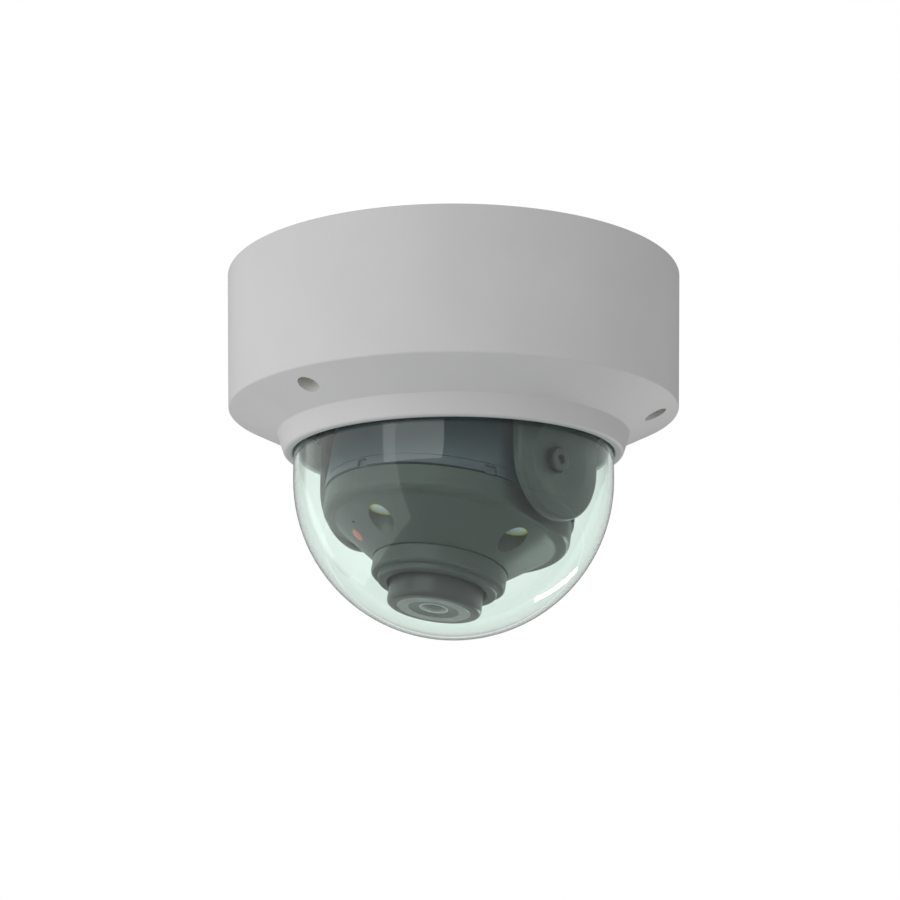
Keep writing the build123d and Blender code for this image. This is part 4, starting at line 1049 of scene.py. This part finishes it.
# ------------------------------------------------------------------------ lens pieces
class DOMECAM_OT_collar(bpy.types.Operator):
    """Turning collar with its two steps and the mouth round the barrel"""

    bl_idname = "domecam.collar"
    bl_label = "Lens collar"

    def execute(self, context):
        mouth, rear = COLLAR.low, COLLAR.high
        outer = COLLAR.outer
        face = mouth + 8.45 * MM
        bearing = outer - 0.65 * MM
        clip = rear - 2.8 * MM
        clip_floor, clip_high = bearing - 0.9 * MM, clip + 1.5 * MM
        bore = BARREL.outer + 0.9 * MM
        mouth_radius, nose_radius, rear_radius = 18.5 * MM, 22.25 * MM, 16.4 * MM
        nose = mouth + 2.3 * MM
        wall = 2 * MM
        outline = [
            (mouth_radius, mouth, 0.4 * MM), (nose_radius, mouth, 1.4 * MM), (nose_radius, nose, 0.35 * MM),
            (outer, nose, 2.2 * MM), (outer, face, 0.2 * MM), (bearing, face),
            (bearing, clip), (clip_floor, clip), (clip_floor, clip_high), (bearing, clip_high),
            (bearing, rear, 0.3 * MM), (rear_radius, rear, 0.3 * MM), (rear_radius, rear - wall),
            (bore, rear - wall), (bore, mouth + wall), (mouth_radius, mouth + wall),
        ]
        show("turning_collar", lathe(outline), "front_plastic", "lens_carrier", "lens_collar", place=MODULE)
        return {"FINISHED"}


class DOMECAM_OT_barrel(bpy.types.Operator):
    """Focus barrel with its rounded nose and a knurled grip at its rear"""

    bl_idname = "domecam.barrel"
    bl_label = "Focus barrel"

    def execute(self, context):
        front, rear = BARREL.low, BARREL.high
        lip = RIM_RING.outer + 0.05 * MM
        bore = Reach("lens_cell", MODULE).outer + 0.05 * MM
        side = 17.4 * MM
        grip, grip_low = BARREL.outer, rear - 2.2 * MM
        step = front + 1.2 * MM
        outline = [
            (lip, front, 0.15 * MM), (side, front, 2.0 * MM), (side, grip_low, 0.3 * MM),
            (grip, grip_low, 0.4 * MM), (grip, rear, 0.4 * MM), (bore, rear, 0.3 * MM),
            (bore, step), (lip, step),
        ]
        ribs, rib_depth = 56, 0.012

        def knurl(point):
            if point.xy.length < grip - 0.6 * MM:
                return point
            wave = 0.5 - 0.5 * math.cos(ribs * math.atan2(point.y, point.x))
            return point - Vector((point.x, point.y, 0)) * (rib_depth * wave)

        show("barrel", lathe(outline, 448, knurl), "barrel_black", "focus", "focus_ring", place=MODULE)
        return {"FINISHED"}


class DOMECAM_OT_lens_rings(bpy.types.Operator):
    """Front ring, conical ring with its fine baffle steps, and thin trim ring"""

    bl_idname = "domecam.lens_rings"
    bl_label = "Lens rings"

    def execute(self, context):
        front, back = RIM_RING.low, RIM_RING.high
        spigot = Reach("lens_cell", MODULE).outer - 1.92 * MM
        inner, flange = CONE.outer + FIT, front + 1.1 * MM
        outline = [
            (inner, front, 0.15 * MM), (RIM_RING.outer, front, 0.25 * MM),
            (RIM_RING.outer, flange, 0.1 * MM), (spigot, flange), (spigot, back), (inner, back),
        ]
        show("front_rim", lathe(outline), "ring_pale", "cell", "front_ring", place=MODULE)
        steps = 7
        inner = TRIM.outer + FIT
        cone = [(CONE.outer, CONE.low, 0.1 * MM)]
        width = (CONE.outer - inner) / steps
        for step in range(1, steps):
            radius = CONE.outer - width * step
            height = CONE.low + 0.45 * MM * step / steps
            cone += [(radius, height - 0.02 * MM), (radius, height + 0.03 * MM)]
        cone += [(inner, CONE.low + 0.5 * MM), (inner, CONE.high), (CONE.outer, CONE.high)]
        show("cone_baffle", lathe(cone), "ring_green", "cell", "cone_ring", place=MODULE)
        trim = [
            (TRIM.inner, TRIM.low, 0.1 * MM), (TRIM.outer, TRIM.low, 0.1 * MM),
            (TRIM.outer, TRIM.high), (TRIM.inner, TRIM.high),
        ]
        show("trim_band", lathe(trim, 144), "ring_white", "cell", "lens_trim_ring", place=MODULE)
        return {"FINISHED"}


class DOMECAM_OT_front_lens(bpy.types.Operator):
    """Front lens: a domed coated glass"""

    bl_idname = "domecam.front_lens"
    bl_label = "Front lens"

    def execute(self, context):
        low, high, radius = FRONT_LENS.low, FRONT_LENS.high, FRONT_LENS.outer
        bulge = 1.5 * MM
        ball = (radius ** 2 + bulge ** 2) / (2 * bulge)
        steps, crown_share = 12, 0.985
        outline = []
        for step in range(steps + 1):
            reach = radius * crown_share * step / steps
            outline.append((reach, low + ball - math.sqrt(ball ** 2 - reach ** 2)))
        outline += [(radius, low + bulge + 0.1 * MM, 0.05 * MM), (radius, high), (0.0, high)]
        show("front_glass", lathe(outline, 144), "coated_glass", "cell", "front_lens", place=MODULE)
        return {"FINISHED"}


class DOMECAM_OT_kept_pieces(bpy.types.Operator):
    """Finishes for the CAD pieces that are shown as they are"""

    bl_idname = "domecam.kept_pieces"
    bl_label = "Kept pieces"

    def execute(self, context):
        for part in frame["record"]["subparts"]:
            piece = frame["nodes"][part["node"]]
            piece.data.materials.clear()
            piece.data.materials.append(FINISHES[part["material_slot"]])
        return {"FINISHED"}


class DOMECAM_OT_finishes(bpy.types.Operator):
    """Makes every finish from the colours in the panel"""

    bl_idname = "domecam.finishes"
    bl_label = "Finishes"

    def execute(self, context):
        make_finishes(context.scene.finish_colours)
        return {"FINISHED"}


# ----------------------------------------------------------------------------- studio
def panel_light(name, place, target, size, power, tint=(1.0, 1.0, 1.0)):
    """Rectangular soft light that faces a target and isn't seen itself."""
    data = bpy.data.lights.new(name, "AREA")
    data.shape = "RECTANGLE"
    data.size, data.size_y = size
    data.energy = power
    data.color = tint
    light = bpy.data.objects.new(name, data)
    bpy.context.scene.collection.objects.link(light)
    light.location = place
    light.rotation_euler = (Vector(target) - Vector(place)).to_track_quat("-Z", "Y").to_euler()
    light.visible_camera = False
    return light


def surroundings(studio):
    """White surroundings, dimmer as a source of light and in reflections than they look."""
    world = bpy.data.worlds.new("surroundings")
    bpy.context.scene.world = world
    world.use_nodes = True
    tree = world.node_tree
    tree.nodes.clear()
    path = tree.nodes.new("ShaderNodeLightPath")
    strength = studio.ambient
    for ray, level in (("Is Glossy Ray", studio.mirrored), ("Is Transmission Ray", studio.backdrop),
                       ("Is Camera Ray", studio.backdrop)):
        choice = tree.nodes.new("ShaderNodeMix")
        tree.links.new(path.outputs[ray], choice.inputs[0])
        choice.inputs[3].default_value = level
        if isinstance(strength, float):
            choice.inputs[2].default_value = strength
        else:
            tree.links.new(strength, choice.inputs[2])
        strength = choice.outputs[0]
    light = tree.nodes.new("ShaderNodeBackground")
    light.inputs["Color"].default_value = (1.0, 1.0, 1.0, 1.0)
    tree.links.new(strength, light.inputs["Strength"])
    output = tree.nodes.new("ShaderNodeOutputWorld")
    tree.links.new(light.outputs["Background"], output.inputs["Surface"])


class DOMECAM_OT_studio(bpy.types.Operator):
    """Pale floor, soft lights, white surroundings and the camera"""

    bl_idname = "domecam.studio"
    bl_label = "Studio"

    def execute(self, context):
        studio = context.scene.studio_settings
        scene = context.scene
        scene.view_settings.view_transform = "Standard"
        towards = Vector((math.cos(studio.azimuth), math.sin(studio.azimuth), 0.0))
        right = Vector((-towards.y, towards.x, 0.0))
        up = Vector((0.0, 0.0, 1.0))
        data = bpy.data.cameras.new("camera")
        data.sensor_width = 36.0
        data.lens = studio.focal_length
        data.shift_x = studio.shift
        data.clip_start, data.clip_end = 0.01, 50.0
        camera = bpy.data.objects.new("camera", data)
        scene.collection.objects.link(camera)
        camera.location = towards * studio.distance + up * studio.height
        camera.rotation_euler = (math.pi / 2 + studio.pitch, 0.0, studio.azimuth + math.pi / 2)
        scene.camera = camera
        surroundings(studio)
        middle = Vector((0.0, 0.0, PIVOT.z))
        window_at = middle - right * 1.15 + towards * 0.10 + up * -0.15
        panel_light("window_panel", window_at, middle, (2.4, 2.0), studio.window_power)
        fill_at = middle + towards * 1.3 - right * 0.7 + up * 0.5
        panel_light("fill_panel", fill_at, middle, (1.2, 0.9), studio.fill_power)
        strip_at = middle - towards * 0.90 + right * 0.62 - up * 0.48
        panel_light("rear_strip", strip_at, middle, (0.05, 0.42), studio.strip_power)
        floor = bmesh.new()
        bmesh.ops.create_circle(floor, cap_ends=True, segments=96, radius=9.0)
        floor_object = as_object("studio_floor", floor)
        floor_object.location.z = studio.floor_height
        pale = Finish("pale_floor")
        marbling = pale.noise(0.8, 3.0)
        tone = pale.mix(marbling, (0.86, 0.86, 0.86, 1.0), (0.90, 0.90, 0.90, 1.0))
        floor_object.data.materials.append(pale.done(pale.principled(Base_Color=tone, Roughness=0.7)))
        return {"FINISHED"}


# ------------------------------------------------------------------------------ panel
class DOMECAM_PT_pieces(bpy.types.Panel):
    """Lists the pieces, sizes and finishes"""

    bl_idname = "DOMECAM_PT_pieces"
    bl_label = "Dome Camera"
    bl_space_type = "VIEW_3D"
    bl_region_type = "UI"
    bl_category = "Dome Camera"

    def draw(self, context):
        for operator in OPERATORS:
            self.layout.operator(operator.bl_idname)
        for group in ("housing_sizes", "module_sizes", "finish_colours", "studio_settings"):
            settings = getattr(context.scene, group)
            column = self.layout.column(align=True)
            for name in settings.__annotations__:
                column.prop(settings, name)


OPERATORS = (
    DOMECAM_OT_finishes,
    DOMECAM_OT_kept_pieces,
    DOMECAM_OT_cover,
    DOMECAM_OT_bubble,
    DOMECAM_OT_cover_screws,
    DOMECAM_OT_yoke,
    DOMECAM_OT_pivot_screws,
    DOMECAM_OT_rear_shell,
    DOMECAM_OT_front_shell,
    DOMECAM_OT_lamps,
    DOMECAM_OT_collar,
    DOMECAM_OT_barrel,
    DOMECAM_OT_lens_rings,
    DOMECAM_OT_front_lens,
    DOMECAM_OT_studio,
)
GROUPS = {
    "housing_sizes": HousingSizes,
    "module_sizes": ModuleSizes,
    "finish_colours": FinishColours,
    "studio_settings": StudioSettings,
}


def register():
    for group in GROUPS.values():
        bpy.utils.register_class(group)
    for name, group in GROUPS.items():
        setattr(bpy.types.Scene, name, PointerProperty(type=group))
    for operator in OPERATORS:
        bpy.utils.register_class(operator)
    bpy.utils.register_class(DOMECAM_PT_pieces)


def unregister():
    bpy.utils.unregister_class(DOMECAM_PT_pieces)
    for operator in reversed(OPERATORS):
        bpy.utils.unregister_class(operator)
    for name in reversed(list(GROUPS)):
        delattr(bpy.types.Scene, name)
        bpy.utils.unregister_class(GROUPS[name])


def main():
    register()
    for operator in OPERATORS:
        family, action = operator.bl_idname.split(".")
        getattr(getattr(bpy.ops, family), action)()


if __name__ == "__main__":
    main()
